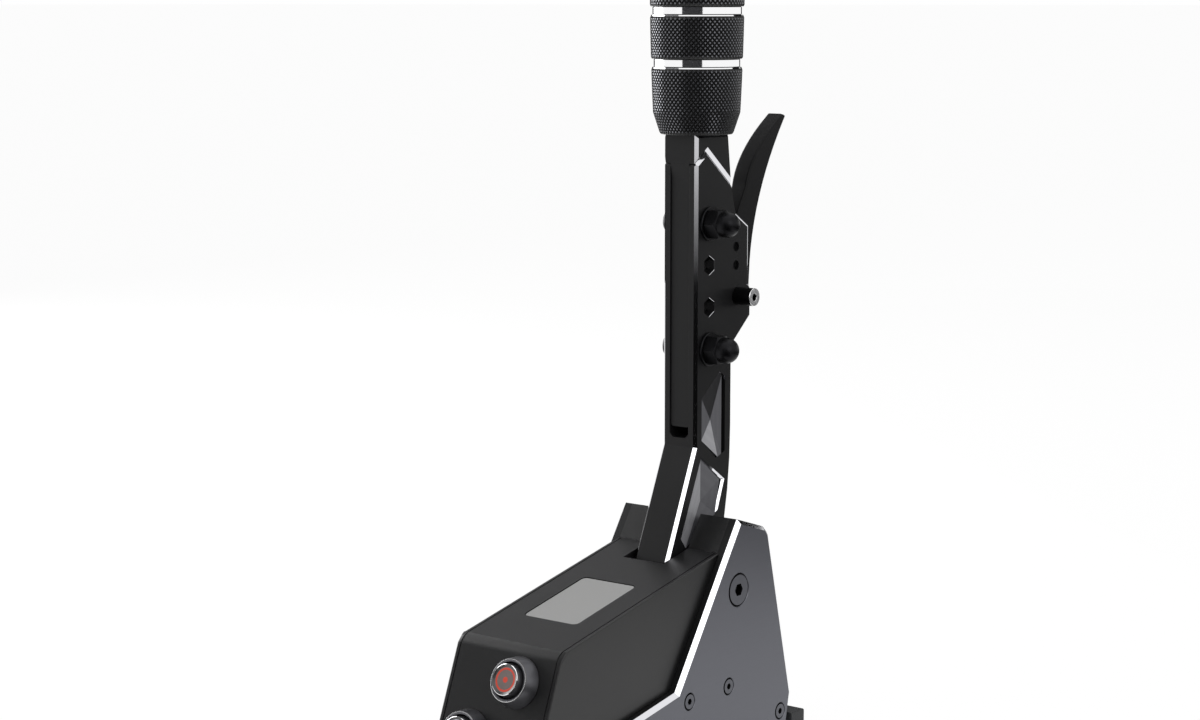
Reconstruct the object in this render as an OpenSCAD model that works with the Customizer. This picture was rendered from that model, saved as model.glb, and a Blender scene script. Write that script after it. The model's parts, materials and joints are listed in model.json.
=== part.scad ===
// Sim racing lever unit: pull handbrake and sequential shift lever on a base with display and buttons.
// Pieces are drawn with Y = 0 on the grip axis and Z = 0 on the pivot axis, then placed on the floor.
// X runs across the unit, the driver sits towards -Y and Z is up. All sizes are millimetres.

/* [Lever] */
// Thickness of the lever across the unit
lever_t = 15; // [14:0.5:16]
// Front face of the lever ahead of the grip axis
lever_front = 10; // [9.5:0.5:11]
// Rear face of the shank behind the grip axis
lever_back = 12.8; // [12:0.2:14]
// Rear edge of the clamp walls behind the grip axis
wall_back = 23.2; // [22:0.2:25]
// Extra depth of the pad at the foot of the clamp walls
pad_step = 1.4; // [0.8:0.2:2]
// Bright-cut chamfer along the lever edges
lever_chamfer = 1.1; // [0.6:0.1:1.4]
// Height of the bend above the pivot
bend_z = 50; // [48:1:52]
// Forward lean of the foot below the bend, degrees
foot_lean = 23; // [20:1:24]
// Height that the leaning foot covers
foot_drop = 40; // [36:1:42]
// Height of the joint between stem and lever body, on the front face
seam_z = 152.6; // [150:0.2:154]
// Rise of the joint from the front face to its peak
seam_rise = 4.4; // [3:0.2:5]
// Pivot axis ahead of the grip axis
pivot_ahead = 9.2; // [8:0.2:10]
// Distance from the pivot down to the tail pin
tail_len = 28; // [27:0.5:29]
// Depth of the pockets in the lever sides
pocket_depth = 2; // [1.5:0.1:2.2]

/* [Stem] */
// Width of the tongue in the front groove
tongue_w = 8.2; // [7:0.2:8.6]
// Depth of the tongue behind the front face
tongue_depth = 14; // [12:0.5:14.5]
// Height of the lower end of the tongue
tongue_end_z = 57; // [55:0.5:60]
// Empty length of the groove below the tongue
groove_spare = 4; // [2:0.5:6]
// Depth of the stem under the grip
stem_depth = 20.1; // [20:0.1:22]
// Height of the upper clamp bolt
bolt_top_z = 131; // [130:0.2:132]
// Distance between neighbouring clamp holes
bolt_pitch = 15.2; // [14.6:0.2:15.4]
// Clamp bolts ahead of the grip axis
bolt_ahead = 2; // [1.5:0.5:3]
// Radius of the clamp bolts
bolt_r = 3; // [2.5:0.1:3.2]
// Across-corners size of the two spare hexagon holes
spare_hex = 7; // [6:0.2:7.4]

/* [Grip] */
// Height of the lower end of the grip
grip_z = 163; // [161:0.5:166]
// Largest radius of the grip
grip_r = 17.1; // [16:0.1:18]
// Radius of the lower end of the grip
grip_foot_r = 13.2; // [12:0.1:14]
// Height of the cone at the lower end
grip_cone_h = 7.8; // [6:0.2:9]
// Height of the lowest knurled sleeve
foot_sleeve_h = 24; // [22:0.5:26]
// Height of each other knurled sleeve
sleeve_h = 15.6; // [14:0.2:17]
// Height of the bright rings
ring_h = 3; // [2:0.2:4]
// Step of the rings below the sleeves
ring_step = 0.9; // [0.5:0.1:1.4]
// Height of the end cap
cap_h = 9; // [7:0.5:12]
// Diamonds of the knurl around the grip
knurl_count = 31; // [24:1:40]
// Depth of the knurl's grooves
knurl_depth = 0.5; // [0.3:0.05:0.6]
// Radius of the core inside the sleeves
core_r = 9; // [7.5:0.5:10]
// Radius of the studs at both ends of the core
stud_r = 3.5; // [3:0.1:3.8]

/* [Trigger] */
// Thickness of the trigger
trigger_t = 7; // [6:0.2:7.4]
// Trigger pin behind the grip axis
pin_back = 15.7; // [15:0.1:16.4]
// Height of the trigger pin
pin_z = 103.2; // [102:0.2:104]
// Radius of the hollow trigger pin
pin_r = 3.3; // [2.8:0.1:3.6]
// Radius of the hole in the trigger pin
pin_bore_r = 1.35; // [1:0.05:1.6]
// Reach of the trigger pin beyond the right side of the lever
pin_reach = 7.7; // [5:0.1:10]
// Front edge of the trigger behind the grip axis
trigger_front = 20; // [19:0.2:21]
// Depth of the trigger behind its front edge
trigger_depth = 9.4; // [8.6:0.2:10]
// Height of the tip of the trigger
trigger_tip_z = 168; // [164:0.5:172]
// Reach of the trigger tip behind the grip axis
trigger_tip_back = 52.5; // [50:0.5:55]

/* [Base] */
// Height of the pivot above the floor
pivot_h = 60; // [58:0.5:62]
// Grip axis behind the middle of the bolt pattern
axis_back = 43.5; // [42:0.5:45]
// Width over the side plates
unit_w = 53.4; // [53:0.2:55]
// Thickness of the side plates
plate_t = 4.5; // [4:0.1:4.6]
// Chamfer around the outer face of the side plates
plate_chamfer = 1.5; // [1:0.1:2]
// Width of the housing
housing_w = 45.8; // [45.4:0.2:46.4]
// Wall of the deck, front and back of the housing
wall = 2.5; // [2:0.1:3]
// Wall of the housing sides
side_wall = 3; // [2.6:0.1:3.4]
// Thickness of the base plate
base_t = 6.5; // [6:0.5:7]
// Reach of the base plate behind the side plates
flange = 8.3; // [6:0.1:12]
// Upper front edge of the housing ahead of the grip axis
nose_ahead = 105.4; // [103:0.2:108]
// Height of that edge above the pivot axis
nose_z = -5.2; // [-6:0.2:-4]
// Slope of the deck, degrees
deck_slope = 12.3; // [11:0.1:13]
// Lean of the front face, degrees
front_lean = 21.2; // [19:0.2:23]
// Height of the tower ridge above the pivot axis
ridge_z = 25.7; // [24:0.1:27]
// Tower ridge ahead of the grip axis
ridge_ahead = 8.8; // [8:0.1:10]
// Lean of the tower front and of the plate's front edge, degrees
tower_lean = 33.4; // [31:0.2:35]
// Lean of the back edge, degrees
back_lean = 13.6; // [12:0.2:15]
// Width of the lever slot
slot_w = 18.4; // [18:0.2:20]
// Front end of the lever slot ahead of the grip axis
slot_ahead = 31; // [30:0.5:34]

/* [Fastening] */
// Spacing of the mounting holes across the unit
mount_x = 30; // [28:1:32]
// Spacing of the mounting holes along the unit
mount_y = 100; // [96:1:104]
// Radius of the mounting holes
mount_r = 3.1; // [2.6:0.1:3.4]

/* [Display and buttons] */
// Width of the display lens
lens_w = 23.7; // [22:0.1:25]
// Length of the display lens along the deck
lens_l = 34.8; // [33:0.1:36]
// Middle of the display ahead of the grip axis
display_ahead = 67.4; // [66:0.2:69]
// Radius of the button caps
button_cap_r = 6; // [5.4:0.1:6.2]
// Radius of the button flange on the front face
button_flange_r = 9; // [8.4:0.1:9.2]
// Reach of the button caps from the front face
button_reach = 7.5; // [6.5:0.1:8.5]
// Upper button, to the right of the middle
upper_button_x = 7; // [6:0.2:8]
// Upper button, height from the pivot axis
upper_button_z = -16.4; // [-17:0.2:-16]
// Lower button, from the inside of the left wall
lower_button_x = 10.9; // [10.5:0.1:12]
// Lower button, height above the floor
lower_button_z = 24.3; // [24:0.1:25]

/* [Mechanism] */
// Radius of the pivot axle
axle_r = 5; // [4.5:0.1:5.2]
// Wall of the pivot bushes
bush_wall = 2; // [1.5:0.1:2.4]
// Radius of the pull rod
rod_r = 3; // [2.5:0.1:3.3]
// Front face of the guide block ahead of the grip axis
guide_ahead = 50; // [49:0.5:52]
// Thickness of the guide block
guide_t = 8; // [7:0.5:9]
// Length of the pull spring
pull_spring_l = 22; // [20:0.5:23]
// Length of the push spring
push_spring_l = 14; // [13:0.5:15]
// Radius of the spring wire
wire_r = 0.9; // [0.6:0.1:1]

/* [Hidden] */
$fn = 64;
run_gap = 0.05;
fit_gap = 0.1;
seam_gap = 0.2;
clear_gap = 0.3;
hole_gap = 0.2;
e = 1;

// Places that several pieces share
half_t = lever_t / 2;
pivot_y = -pivot_ahead;
plate_out = unit_w / 2;
plate_in = plate_out - plate_t;
housing_half = housing_w / 2;
plate_seat = 0.7;
cavity_half = min(housing_half, plate_in + plate_seat) - side_wall;
floor_z = base_t - pivot_h;
low_z = -pivot_h;
plate_low_z = low_z + 2;

// Outline of the side plates: knee, toe and heel
knee_z = -30.5;
knee_y = -ridge_ahead - (ridge_z - knee_z) * tan(tower_lean);
toe_slope = 10.8;
toe_y = -108;
toe_z = knee_z - (knee_y - toe_y) * tan(toe_slope);
heel_z = low_z + 15;
top_fall = 17.5;
top_depth = 16.4;
top_back_y = top_depth - ridge_ahead;
top_back_z = ridge_z - top_depth * tan(top_fall);
corner_cut = 2.5;
heel_y = top_back_y + corner_cut + (top_back_z - corner_cut - heel_z) * tan(back_lean);
heel_tuck = 2.6;
back_inset = 1.5;

function back_y(z) = heel_y - (z - heel_z) * tan(back_lean);
function deck_z(y) = nose_z + (y + nose_ahead) * tan(deck_slope);
function front_y(z) = -nose_ahead - (nose_z - z) * tan(front_lean);

// Where the tower front meets the deck
tower_foot_z = (nose_z + (nose_ahead - ridge_ahead - ridge_z * tan(tower_lean)) * tan(deck_slope))
    / (1 - tan(tower_lean) * tan(deck_slope));
tower_foot_y = -ridge_ahead - (ridge_z - tower_foot_z) * tan(tower_lean);

plate_outline = [
    [toe_y - (toe_z - plate_low_z) * tan(front_lean), plate_low_z],
    [heel_y - heel_tuck, plate_low_z],
    [heel_y, heel_z],
    [top_back_y + corner_cut, top_back_z - corner_cut],
    [top_back_y, top_back_z],
    [-ridge_ahead, ridge_z],
    [knee_y, knee_z],
    [toe_y, toe_z]
];

function housing_outline(foot_z) = [
    [front_y(foot_z), foot_z],
    [heel_y - back_inset - heel_tuck, foot_z],
    [heel_y - back_inset, heel_z],
    [top_back_y + corner_cut - back_inset, top_back_z - corner_cut],
    [top_back_y - back_inset, top_back_z],
    [-ridge_ahead, ridge_z],
    [tower_foot_y, tower_foot_z],
    [-nose_ahead, nose_z]
];

// Outline of the lever body, tail first
tail_low_z = -tail_len - 6;
foot_low = [-lever_front - foot_drop * tan(foot_lean), bend_z - foot_drop];
pad_top_z = 107.2;
pad_low_z = 95;
peak = [-3.5, seam_z + seam_rise];
seam_low = [12.3, seam_z - 8.4];
lever_outline = concat(
    [[pivot_y - 8, tail_low_z], [pivot_y + 7, tail_low_z]],
    bezier([pivot_y + 12, 0], [lever_back, 24], [lever_back, bend_z + 6], 5),
    [
        [lever_back, pad_low_z - (wall_back + pad_step - lever_back) * 0.86],
        [wall_back + pad_step, pad_low_z],
        [wall_back + pad_step, pad_top_z - pad_step],
        [wall_back, pad_top_z],
        [wall_back, bolt_top_z - 2],
        [wall_back - 8, bolt_top_z + 3],
        seam_low,
        peak,
        [-lever_front, seam_z],
        [-lever_front, bend_z],
        foot_low,
        [pivot_y - 17, -8]
    ]
);

stem_outline = [
    [-lever_front, seam_z + seam_gap],
    peak + [0, seam_gap],
    seam_low + [0, seam_gap],
    [stem_depth - lever_front, grip_z],
    [-lever_front, grip_z]
];

// Grip: a long barrel curve cut into sleeves
grip_mid_z = 225;
grip_curve = 0.00045;
sleeve_count = 4;
sleeve_pitch = sleeve_h + ring_h;
rings_z = grip_z + foot_sleeve_h;
cap_z = rings_z + sleeve_count * sleeve_pitch;
cone_z = grip_z + grip_cone_h;
knurl_rows = 4;
foot_rows = 6;
stud_l = 8.5;
stud_bore_l = 9;
cap_stud_l = 11;
cap_bore_l = 12;
function barrel_radius(z) = grip_r - grip_curve * pow(z - grip_mid_z, 2);
function grip_radius(z) = z >= cone_z ? barrel_radius(z)
    : grip_foot_r + (barrel_radius(cone_z) - grip_foot_r) * (z - grip_z) / grip_cone_h;

// Clamp bolts, spare holes, groove and rear slot of the lever body
bolt_zs = [bolt_top_z, bolt_top_z - 3 * bolt_pitch];
spare_zs = [bolt_top_z - bolt_pitch, bolt_top_z - 2 * bolt_pitch];
tongue_root = 12;
groove_back = tongue_depth - lever_front + fit_gap;
web_back = groove_back + 2.8;
slot_gap = 0.4;
boss_r = 6;
stop_pin_r = 1;
stop_bore_r = 1.8;
stop_bore_l = 1.2;
stop_pin_y = 14.7;
stop_pin_zs = [121.4, 114.6];
head_h = 3.3;
head_r = 5.2;
head_top_r = 3.6;
socket_r = 2.3;
washer_t = 1.2;
nut_hex_h = 5;
nut_dome_r = 4.7;
nut_corner_r = 5.7;
trigger_spring_z = 128;

// Pivot, rod and springs
bush_r = axle_r + run_gap + bush_wall;
bush_flange_r = bush_r + 2;
bush_flange_t = 1;
rod_z = -tail_len;
tail_pin_r = 3;
eye_half = 7;
eye_t = 8;
eye_h = 16;
eye_slot = 1.5;
collar_r = 7.4;
collar_t = 2;
guide_back_y = -guide_ahead + guide_t;
collar_y = guide_back_y + push_spring_l;
pull_end_y = -guide_ahead - pull_spring_l;
rod_washer_t = 2;
rod_nut_t = 5;
spring_r = 5.6;
guide_half = 12;
guide_top_z = rod_z + 10;

// Screws: plate screws as [y, z], base screws as [x, y]
plate_screws_at = [[-15, -34.6], [-38.8, -35.1], [18, floor_z + 2.5], [-100, floor_z + 3.5]];
plate_screw_r = 1.5;
plate_screw_l = 10;
plate_boss_r = 2.5;
plate_boss_end = 15.2;
axle_screw_r = 3;
axle_screw_l = 14;
base_screw_back = heel_y - 9.85;
base_screws_at = [[16.5, -114], [-16.5, -114], [9, base_screw_back], [-9, base_screw_back]];
base_screw_r = 1.5;
base_boss_r = 4;
base_boss_h = 5;
guide_screws_at = [[8, -guide_ahead + guide_t / 2], [-8, -guide_ahead + guide_t / 2]];
guide_screw_r = 2;
mount_mid_y = -axis_back;

// Display stack below the deck, heights measured from the deck surface
lens_sink = 0.2;
lens_corner = 2;
module_z = -wall;
module_t = 2.5;
card_t = 1.6;
card_w = 34;
card_l = 44;
board_z = module_z - module_t - card_t - 5.4;
post_inset = [3, 3.5];
board_posts = [for (x = [1, -1], y = [1, -1])
    [x * (card_w / 2 - post_inset[0]), y * (card_l / 2 - post_inset[1])]];
post_r = 2.2;
board_screw_r = 1.25;
board_screw_head = 1.5;

// Buttons: places as [x, z], heights measured from the front face
upper_button_at = [upper_button_x, upper_button_z];
lower_button_at = [lower_button_x - cavity_half, lower_button_z - pivot_h];
button_body_r = 7;
button_body_l = 22;
button_collar_r = 7.6;
button_collar_h = 5.6;
button_flange_h = 1;
button_nut_t = 3.5;
button_nut_r = 10.3;

// Rear inlet
port_z = low_z + 22;
port_w = 9;
port_h = 3.2;
port_l = 7.4;
panel_w = 24;
panel_h = 15;
panel_t = 1.4;
panel_rim = 2;

// Position sensor on the left of the lever tail
magnet_r = 3;
magnet_t = 2.4;
magnet_z = -14;
sensor_x = 13;
sensor_posts = [[-17.5, -24], [-1.5, -24]];
sensor_post_r = 2.4;

// Points on a curve from a to c that leans towards b
function bezier(a, b, c, n) = [for (i = [0:n]) let (t = i / n)
    (1 - t) * (1 - t) * a + 2 * t * (1 - t) * b + t * t * c];

function left_of(d) = [-d[1], d[0]] / norm(d);

// Outline moved inwards by d
function inset(p, d) = let (n = len(p)) [for (i = [0:n - 1])
    let (u = left_of(p[i] - p[(i + n - 1) % n]), v = left_of(p[(i + 1) % n] - p[i]))
    p[i] + (u + v) * d / (1 + u * v)];

// Solid of a side outline, centred across the unit
module slab(p, t) {
    rotate([90, 0, 90]) linear_extrude(t, center = true) polygon(p);
}

// Ring that chamfers the edges of a side outline on the face at x, mitred at the corners
module chamfer_ring(p, x, c) {
    n = len(p);
    rings = [[x - c, p], [x, p], [x, inset(p, c)]];
    points = [for (ring = rings, q = ring[1]) [ring[0], q[0], q[1]]];
    skin = [for (r = [0:2], i = [0:n - 1]) let (s = (r + 1) % 3, j = (i + 1) % n)
        [r * n + i, s * n + i, s * n + j, r * n + j]];
    polyhedron(points, skin, convexity = 10);
}

// Slab with both faces chamfered
module chamfered_slab(p, t, c) {
    difference() {
        slab(p, t);
        both_sides() chamfer_ring(p, t / 2, c);
    }
}

// Box from one corner to the other
module box(low, high) {
    translate(low) cube(high - low);
}

// Cylinder along X at a point of the side view
module cross_bar(at, r, x0, x1, sides = 64) {
    translate([x0, at[0], at[1]]) rotate([0, 90, 0]) cylinder(r = r, h = x1 - x0, $fn = sides);
}

// Cylinder along Y at the rod axis
module rod_bar(r, y0, y1) {
    translate([0, y0, rod_z]) rotate([-90, 0, 0]) cylinder(r = r, h = y1 - y0);
}

module both_sides() {
    children();
    mirror([1, 0, 0]) children();
}

// Flat-head screw along +Z with its top at z = 0
module flat_screw(r, l, socket) {
    difference() {
        union() {
            translate([0, 0, -l]) cylinder(r = r, h = l);
            translate([0, 0, -r]) cylinder(r1 = r, r2 = 2 * r, h = r);
        }
        translate([0, 0, -0.9 * r]) cylinder(r = socket, h = r, $fn = 6);
    }
}

// Hole for a flat-head screw, with a rim around the head
module flat_hole(r, l) {
    rim = 0.35;
    translate([0, 0, -l]) cylinder(r = r + hole_gap, h = l + e);
    translate([0, 0, -r - rim]) cylinder(r1 = r, r2 = 2 * r + rim, h = r + rim);
    cylinder(r = 2 * r + rim, h = e);
}

// Plate with round corners, upwards from z = 0
module round_plate(w, l, h, r) {
    translate([r - w / 2, -l / 2, 0]) cube([w - 2 * r, l, h]);
    translate([-w / 2, r - l / 2, 0]) cube([w, l - 2 * r, h]);
    for (x = [-1, 1], y = [-1, 1])
        translate([x * (w / 2 - r), y * (l / 2 - r), 0]) cylinder(r = r, h = h);
}

// Spring along +Y from y = 0, one unbroken wire
module coil(r, wire, l, turns) {
    sides = 6;
    turn_rings = 14;
    rings = turns * turn_rings;
    run = l - 2 * wire;
    points = [for (i = [0:rings], k = [0:sides - 1])
        let (a = 360 * turns * i / rings, b = 360 * k / sides, out = r + wire * cos(b))
        [out * cos(a), wire + run * i / rings + wire * sin(b), out * sin(a)]];
    skin = [for (i = [0:rings - 1], k = [0:sides - 1])
        let (p = i * sides + k, q = i * sides + (k + 1) % sides)
        each [[p, p + sides, q], [q, p + sides, q + sides]]];
    ends = [for (k = [1:sides - 2]) each [[0, k, k + 1],
        [rings * sides, rings * sides + k + 1, rings * sides + k]]];
    gaps = [for (i = [0:rings - turn_rings], k = [0:sides - 1], m = [0:sides - 1])
        norm(points[(i + turn_rings) * sides + m] - points[i * sides + k])];
    echo(coil_gap = min(gaps));
    polyhedron(points, concat(skin, ends), convexity = 10);
}

// Frame on the deck: z outwards, y up the slope
module on_deck() {
    translate([0, -display_ahead, deck_z(-display_ahead)]) rotate([deck_slope, 0, 0]) children();
}

// Frame on the front face: z outwards, y upwards
module on_front(at) {
    translate([at[0], front_y(at[1]), at[1]]) rotate([90 - front_lean, 0, 0]) children();
}

// Frame on the back wall: y outwards
module on_back() {
    translate([0, back_y(port_z) - back_inset, port_z]) rotate([back_lean, 0, 0]) children();
}

// Frame on the right side plate: z outwards
module on_plate(at) {
    translate([plate_out, at[0], at[1]]) rotate([0, 90, 0]) children();
}

module base_plate() {
    back = heel_y + clear_gap;
    color("#2b2c2f") difference() {
        union() {
            box([-plate_in, front_y(floor_z), low_z], [plate_in, back, floor_z]);
            box([-plate_out, back, low_z], [plate_out, back + flange, floor_z]);
        }
        for (x = [-1, 1], y = [-1, 1])
            translate([x * mount_x / 2, mount_mid_y + y * mount_y / 2, low_z - e])
                cylinder(r = mount_r, h = base_t + 2 * e);
        for (at = base_screws_at)
            translate([at[0], at[1], low_z]) mirror([0, 0, 1]) flat_hole(base_screw_r, base_t + e);
        for (at = guide_screws_at)
            translate([at[0], at[1], low_z]) mirror([0, 0, 1]) flat_hole(guide_screw_r, base_t + e);
    }
}

module housing() {
    color("#1b1c1e") difference() {
        union() {
            difference() {
                slab(housing_outline(floor_z), housing_w);
                slab(inset(housing_outline(floor_z - wall - e), wall), 2 * cavity_half);
            }
            both_sides() for (at = plate_screws_at)
                cross_bar(at, plate_boss_r, plate_boss_end, plate_in);
            for (at = base_screws_at)
                translate([at[0], at[1], floor_z]) cylinder(r = base_boss_r, h = base_boss_h);
            for (at = sensor_posts)
                cross_bar(at, sensor_post_r, -cavity_half - e, -sensor_x - card_t);
            on_deck() for (at = board_posts)
                translate([at[0], at[1], module_z - module_t]) cylinder(r = post_r + 0.6, h = module_t + e);
        }
        both_sides() {
            translate([plate_in + plate_t / 2, 0, 0]) slab(inset(plate_outline, -seam_gap), plate_t);
            for (at = plate_screws_at)
                cross_bar(at, plate_screw_r + run_gap, plate_out - plate_screw_l - e, plate_out);
            cross_bar([pivot_y, 0], axle_r + hole_gap, cavity_half - e, plate_out);
        }
        box([-slot_w / 2, -slot_ahead, 3], [slot_w / 2, heel_y, ridge_z + e]);
        for (at = base_screws_at)
            translate([at[0], at[1], floor_z - e]) cylinder(r = base_screw_r + run_gap, h = base_boss_h);
        for (at = sensor_posts)
            cross_bar(at, board_screw_r + run_gap, -sensor_x - card_t - 4, -sensor_x);
        on_deck() {
            translate([0, 0, -wall - e])
                round_plate(lens_w + 2 * fit_gap, lens_l + 2 * fit_gap, wall + 2 * e, lens_corner + fit_gap);
            for (at = board_posts)
                translate([at[0], at[1], module_z - module_t - e])
                    cylinder(r = board_screw_r + run_gap, h = module_t + wall / 2 + e);
        }
        for (at = [upper_button_at, lower_button_at])
            on_front(at) translate([0, 0, -wall - e])
                cylinder(r = button_body_r + hole_gap, h = wall + 2 * e);
        on_back() {
            box([-panel_w / 2, -panel_t, -panel_h / 2], [panel_w / 2, e, panel_h / 2]);
            box([panel_rim - panel_w / 2, -wall - e, panel_rim - panel_h / 2],
                [panel_w / 2 - panel_rim, e, panel_h / 2 - panel_rim]);
        }
    }
}

module side_plate() {
    difference() {
        translate([plate_in + plate_t / 2, 0, 0]) slab(plate_outline, plate_t);
        chamfer_ring(plate_outline, plate_out, plate_chamfer);
        for (at = plate_screws_at) on_plate(at) flat_hole(plate_screw_r, plate_t + e);
        on_plate([pivot_y, 0]) flat_hole(axle_screw_r, plate_t + e);
    }
}

module right_side_plate() {
    color("#5b5d62") side_plate();
}

module left_side_plate() {
    color("#5b5d62") mirror([1, 0, 0]) side_plate();
}

module plate_screws() {
    color("#3a3b3e") both_sides() for (at = plate_screws_at)
        on_plate(at) flat_screw(plate_screw_r, plate_screw_l, 1.15);
}

module axle_screws() {
    color("#3a3b3e") both_sides() on_plate([pivot_y, 0]) flat_screw(axle_screw_r, axle_screw_l, socket_r);
}

module base_screws() {
    color("#3a3b3e") for (at = base_screws_at)
        translate([at[0], at[1], low_z]) mirror([0, 0, 1])
            flat_screw(base_screw_r, base_t + base_boss_h - 1.5, 1.15);
}

module guide_screws() {
    color("#3a3b3e") for (at = guide_screws_at)
        translate([at[0], at[1], low_z]) mirror([0, 0, 1]) flat_screw(guide_screw_r, base_t + 10, 1.45);
}

module pivot_axle() {
    color("#b9bcc0") difference() {
        cross_bar([pivot_y, 0], axle_r, -plate_in, plate_in);
        both_sides() cross_bar([pivot_y, 0], axle_screw_r + run_gap,
            plate_out - axle_screw_l - e, plate_in + e);
    }
}

module axle_spacers() {
    color("#8d9095") both_sides() difference() {
        cross_bar([pivot_y, 0], bush_r, half_t + bush_flange_t + clear_gap, cavity_half);
        cross_bar([pivot_y, 0], axle_r + fit_gap, half_t, cavity_half + e);
    }
}

module pivot_bushes() {
    color("#b08d4f") both_sides() difference() {
        union() {
            cross_bar([pivot_y, 0], bush_r, 0.5, half_t + bush_flange_t / 2);
            cross_bar([pivot_y, 0], bush_flange_r, half_t, half_t + bush_flange_t);
        }
        cross_bar([pivot_y, 0], axle_r + run_gap, 0, half_t + bush_flange_t + e);
    }
}

// Pockets in the lever sides
upper_pocket = [[-6.2, 52], [2.8, 44.5], [8.3, 46.5], [8.3, 73.5], [4.6, 76.2], [-6.2, 67.5]];
lower_pocket = [[-15.6, 13.6], [2.6, 23.6], [7.2, 35.8], [-6.6, 45.2], [-18.6, 17.6]];

// Faceted inlay for one pocket, with its ridge from a to b
module inlay(p, a, b) {
    rim = inset(p, fit_gap);
    seat = half_t - pocket_depth;
    both_sides() hull() {
        translate([seat + 0.3, 0, 0]) slab(rim, 0.6);
        for (q = [a, b])
            translate([seat + pocket_depth - 0.5, q[0], q[1]]) cube(0.3, center = true);
    }
}

module upper_inserts() {
    color("#6d7075") inlay(upper_pocket, [0.5, 58.5], [3.5, 66]);
}

module lower_inserts() {
    color("#6d7075") inlay(lower_pocket, [-11.5, 21.5], [0.5, 34]);
}

module lever_body() {
    color("#17181a") difference() {
        chamfered_slab(lever_outline, lever_t, lever_chamfer);
        box([-tongue_w / 2 - fit_gap, -lever_front - e, tongue_end_z - groove_spare],
            [tongue_w / 2 + fit_gap, groove_back, peak[1] + e]);
        box([-trigger_t / 2 - slot_gap, web_back, pin_z - boss_r - 0.8],
            [trigger_t / 2 + slot_gap, wall_back + pad_step + e, peak[1] + e]);
        for (z = bolt_zs) cross_bar([-bolt_ahead, z], bolt_r + hole_gap, -half_t - e, half_t + e);
        for (z = spare_zs) cross_bar([-bolt_ahead, z], spare_hex / 2, -half_t - e, half_t + e, 6);
        for (z = stop_pin_zs) {
            cross_bar([stop_pin_y, z], stop_pin_r + run_gap, -half_t - e, half_t + e);
            cross_bar([stop_pin_y, z], stop_bore_r, -half_t - e, stop_bore_l - half_t);
            cross_bar([stop_pin_y, z], stop_bore_r, half_t - stop_bore_l, half_t + e);
        }
        cross_bar([pin_back, pin_z], pin_r + run_gap, -half_t - e, half_t + e);
        cross_bar([pivot_y, 0], bush_r + run_gap, -half_t - e, half_t + e);
        cross_bar([pivot_y, rod_z], tail_pin_r + run_gap, -half_t - e, half_t + e);
        box([-eye_t / 2 - slot_gap, pivot_y - 30, tail_low_z - e],
            [eye_t / 2 + slot_gap, pivot_y + 30, rod_z + eye_h / 2 + 3.5]);
        cross_bar([pivot_y, magnet_z], magnet_r + run_gap, -half_t - e, fit_gap - half_t + magnet_t);
        both_sides() for (p = [upper_pocket, lower_pocket])
            translate([half_t - pocket_depth / 2 + e / 2, 0, 0]) slab(p, pocket_depth + e);
    }
}

module grip_stem() {
    color("#17181a") difference() {
        union() {
            chamfered_slab(stem_outline, lever_t, lever_chamfer);
            box([-tongue_w / 2, -lever_front, tongue_end_z],
                [tongue_w / 2, tongue_depth - lever_front, seam_low[1] + tongue_root]);
        }
        for (z = concat(bolt_zs, spare_zs))
            cross_bar([-bolt_ahead, z], bolt_r + hole_gap, -lever_t, lever_t);
        translate([0, 0, grip_z - stud_bore_l]) cylinder(r = stud_r + run_gap, h = stud_bore_l + e);
    }
}

module clamp_bolts() {
    color("#2a2b2e") for (z = bolt_zs) difference() {
        union() {
            cross_bar([-bolt_ahead, z], bolt_r, -half_t - e, half_t + washer_t + nut_hex_h + 1);
            translate([-half_t, -bolt_ahead, z]) rotate([0, -90, 0])
                cylinder(r1 = head_r, r2 = head_top_r, h = head_h);
        }
        cross_bar([-bolt_ahead, z], socket_r, -half_t - head_h - e, -half_t - head_h + 2, 6);
    }
}

module clamp_washers() {
    color("#2a2b2e") for (z = bolt_zs) difference() {
        cross_bar([-bolt_ahead, z], nut_corner_r + 0.5, half_t, half_t + washer_t);
        cross_bar([-bolt_ahead, z], bolt_r + fit_gap, half_t - e, half_t + washer_t + e);
    }
}

module acorn_nuts() {
    seat = half_t + washer_t;
    dome_x = seat + nut_hex_h + 1.6;
    color("#2a2b2e") for (z = bolt_zs) difference() {
        union() {
            cross_bar([-bolt_ahead, z], nut_corner_r, seat, seat + nut_hex_h, 6);
            translate([dome_x, -bolt_ahead, z]) sphere(r = nut_dome_r);
            cross_bar([-bolt_ahead, z], nut_dome_r, seat + e, dome_x);
        }
        cross_bar([-bolt_ahead, z], bolt_r + run_gap, seat - e, seat + nut_hex_h + 1.4);
    }
}

module grip_core() {
    color("#8d9095") difference() {
        union() {
            translate([0, 0, grip_z]) cylinder(r = core_r, h = cap_z - grip_z);
            translate([0, 0, grip_z - stud_l]) cylinder(r = stud_r, h = stud_l + e);
        }
        translate([0, 0, cap_z - cap_bore_l]) cylinder(r = stud_r + run_gap, h = cap_bore_l + e);
    }
}

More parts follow.
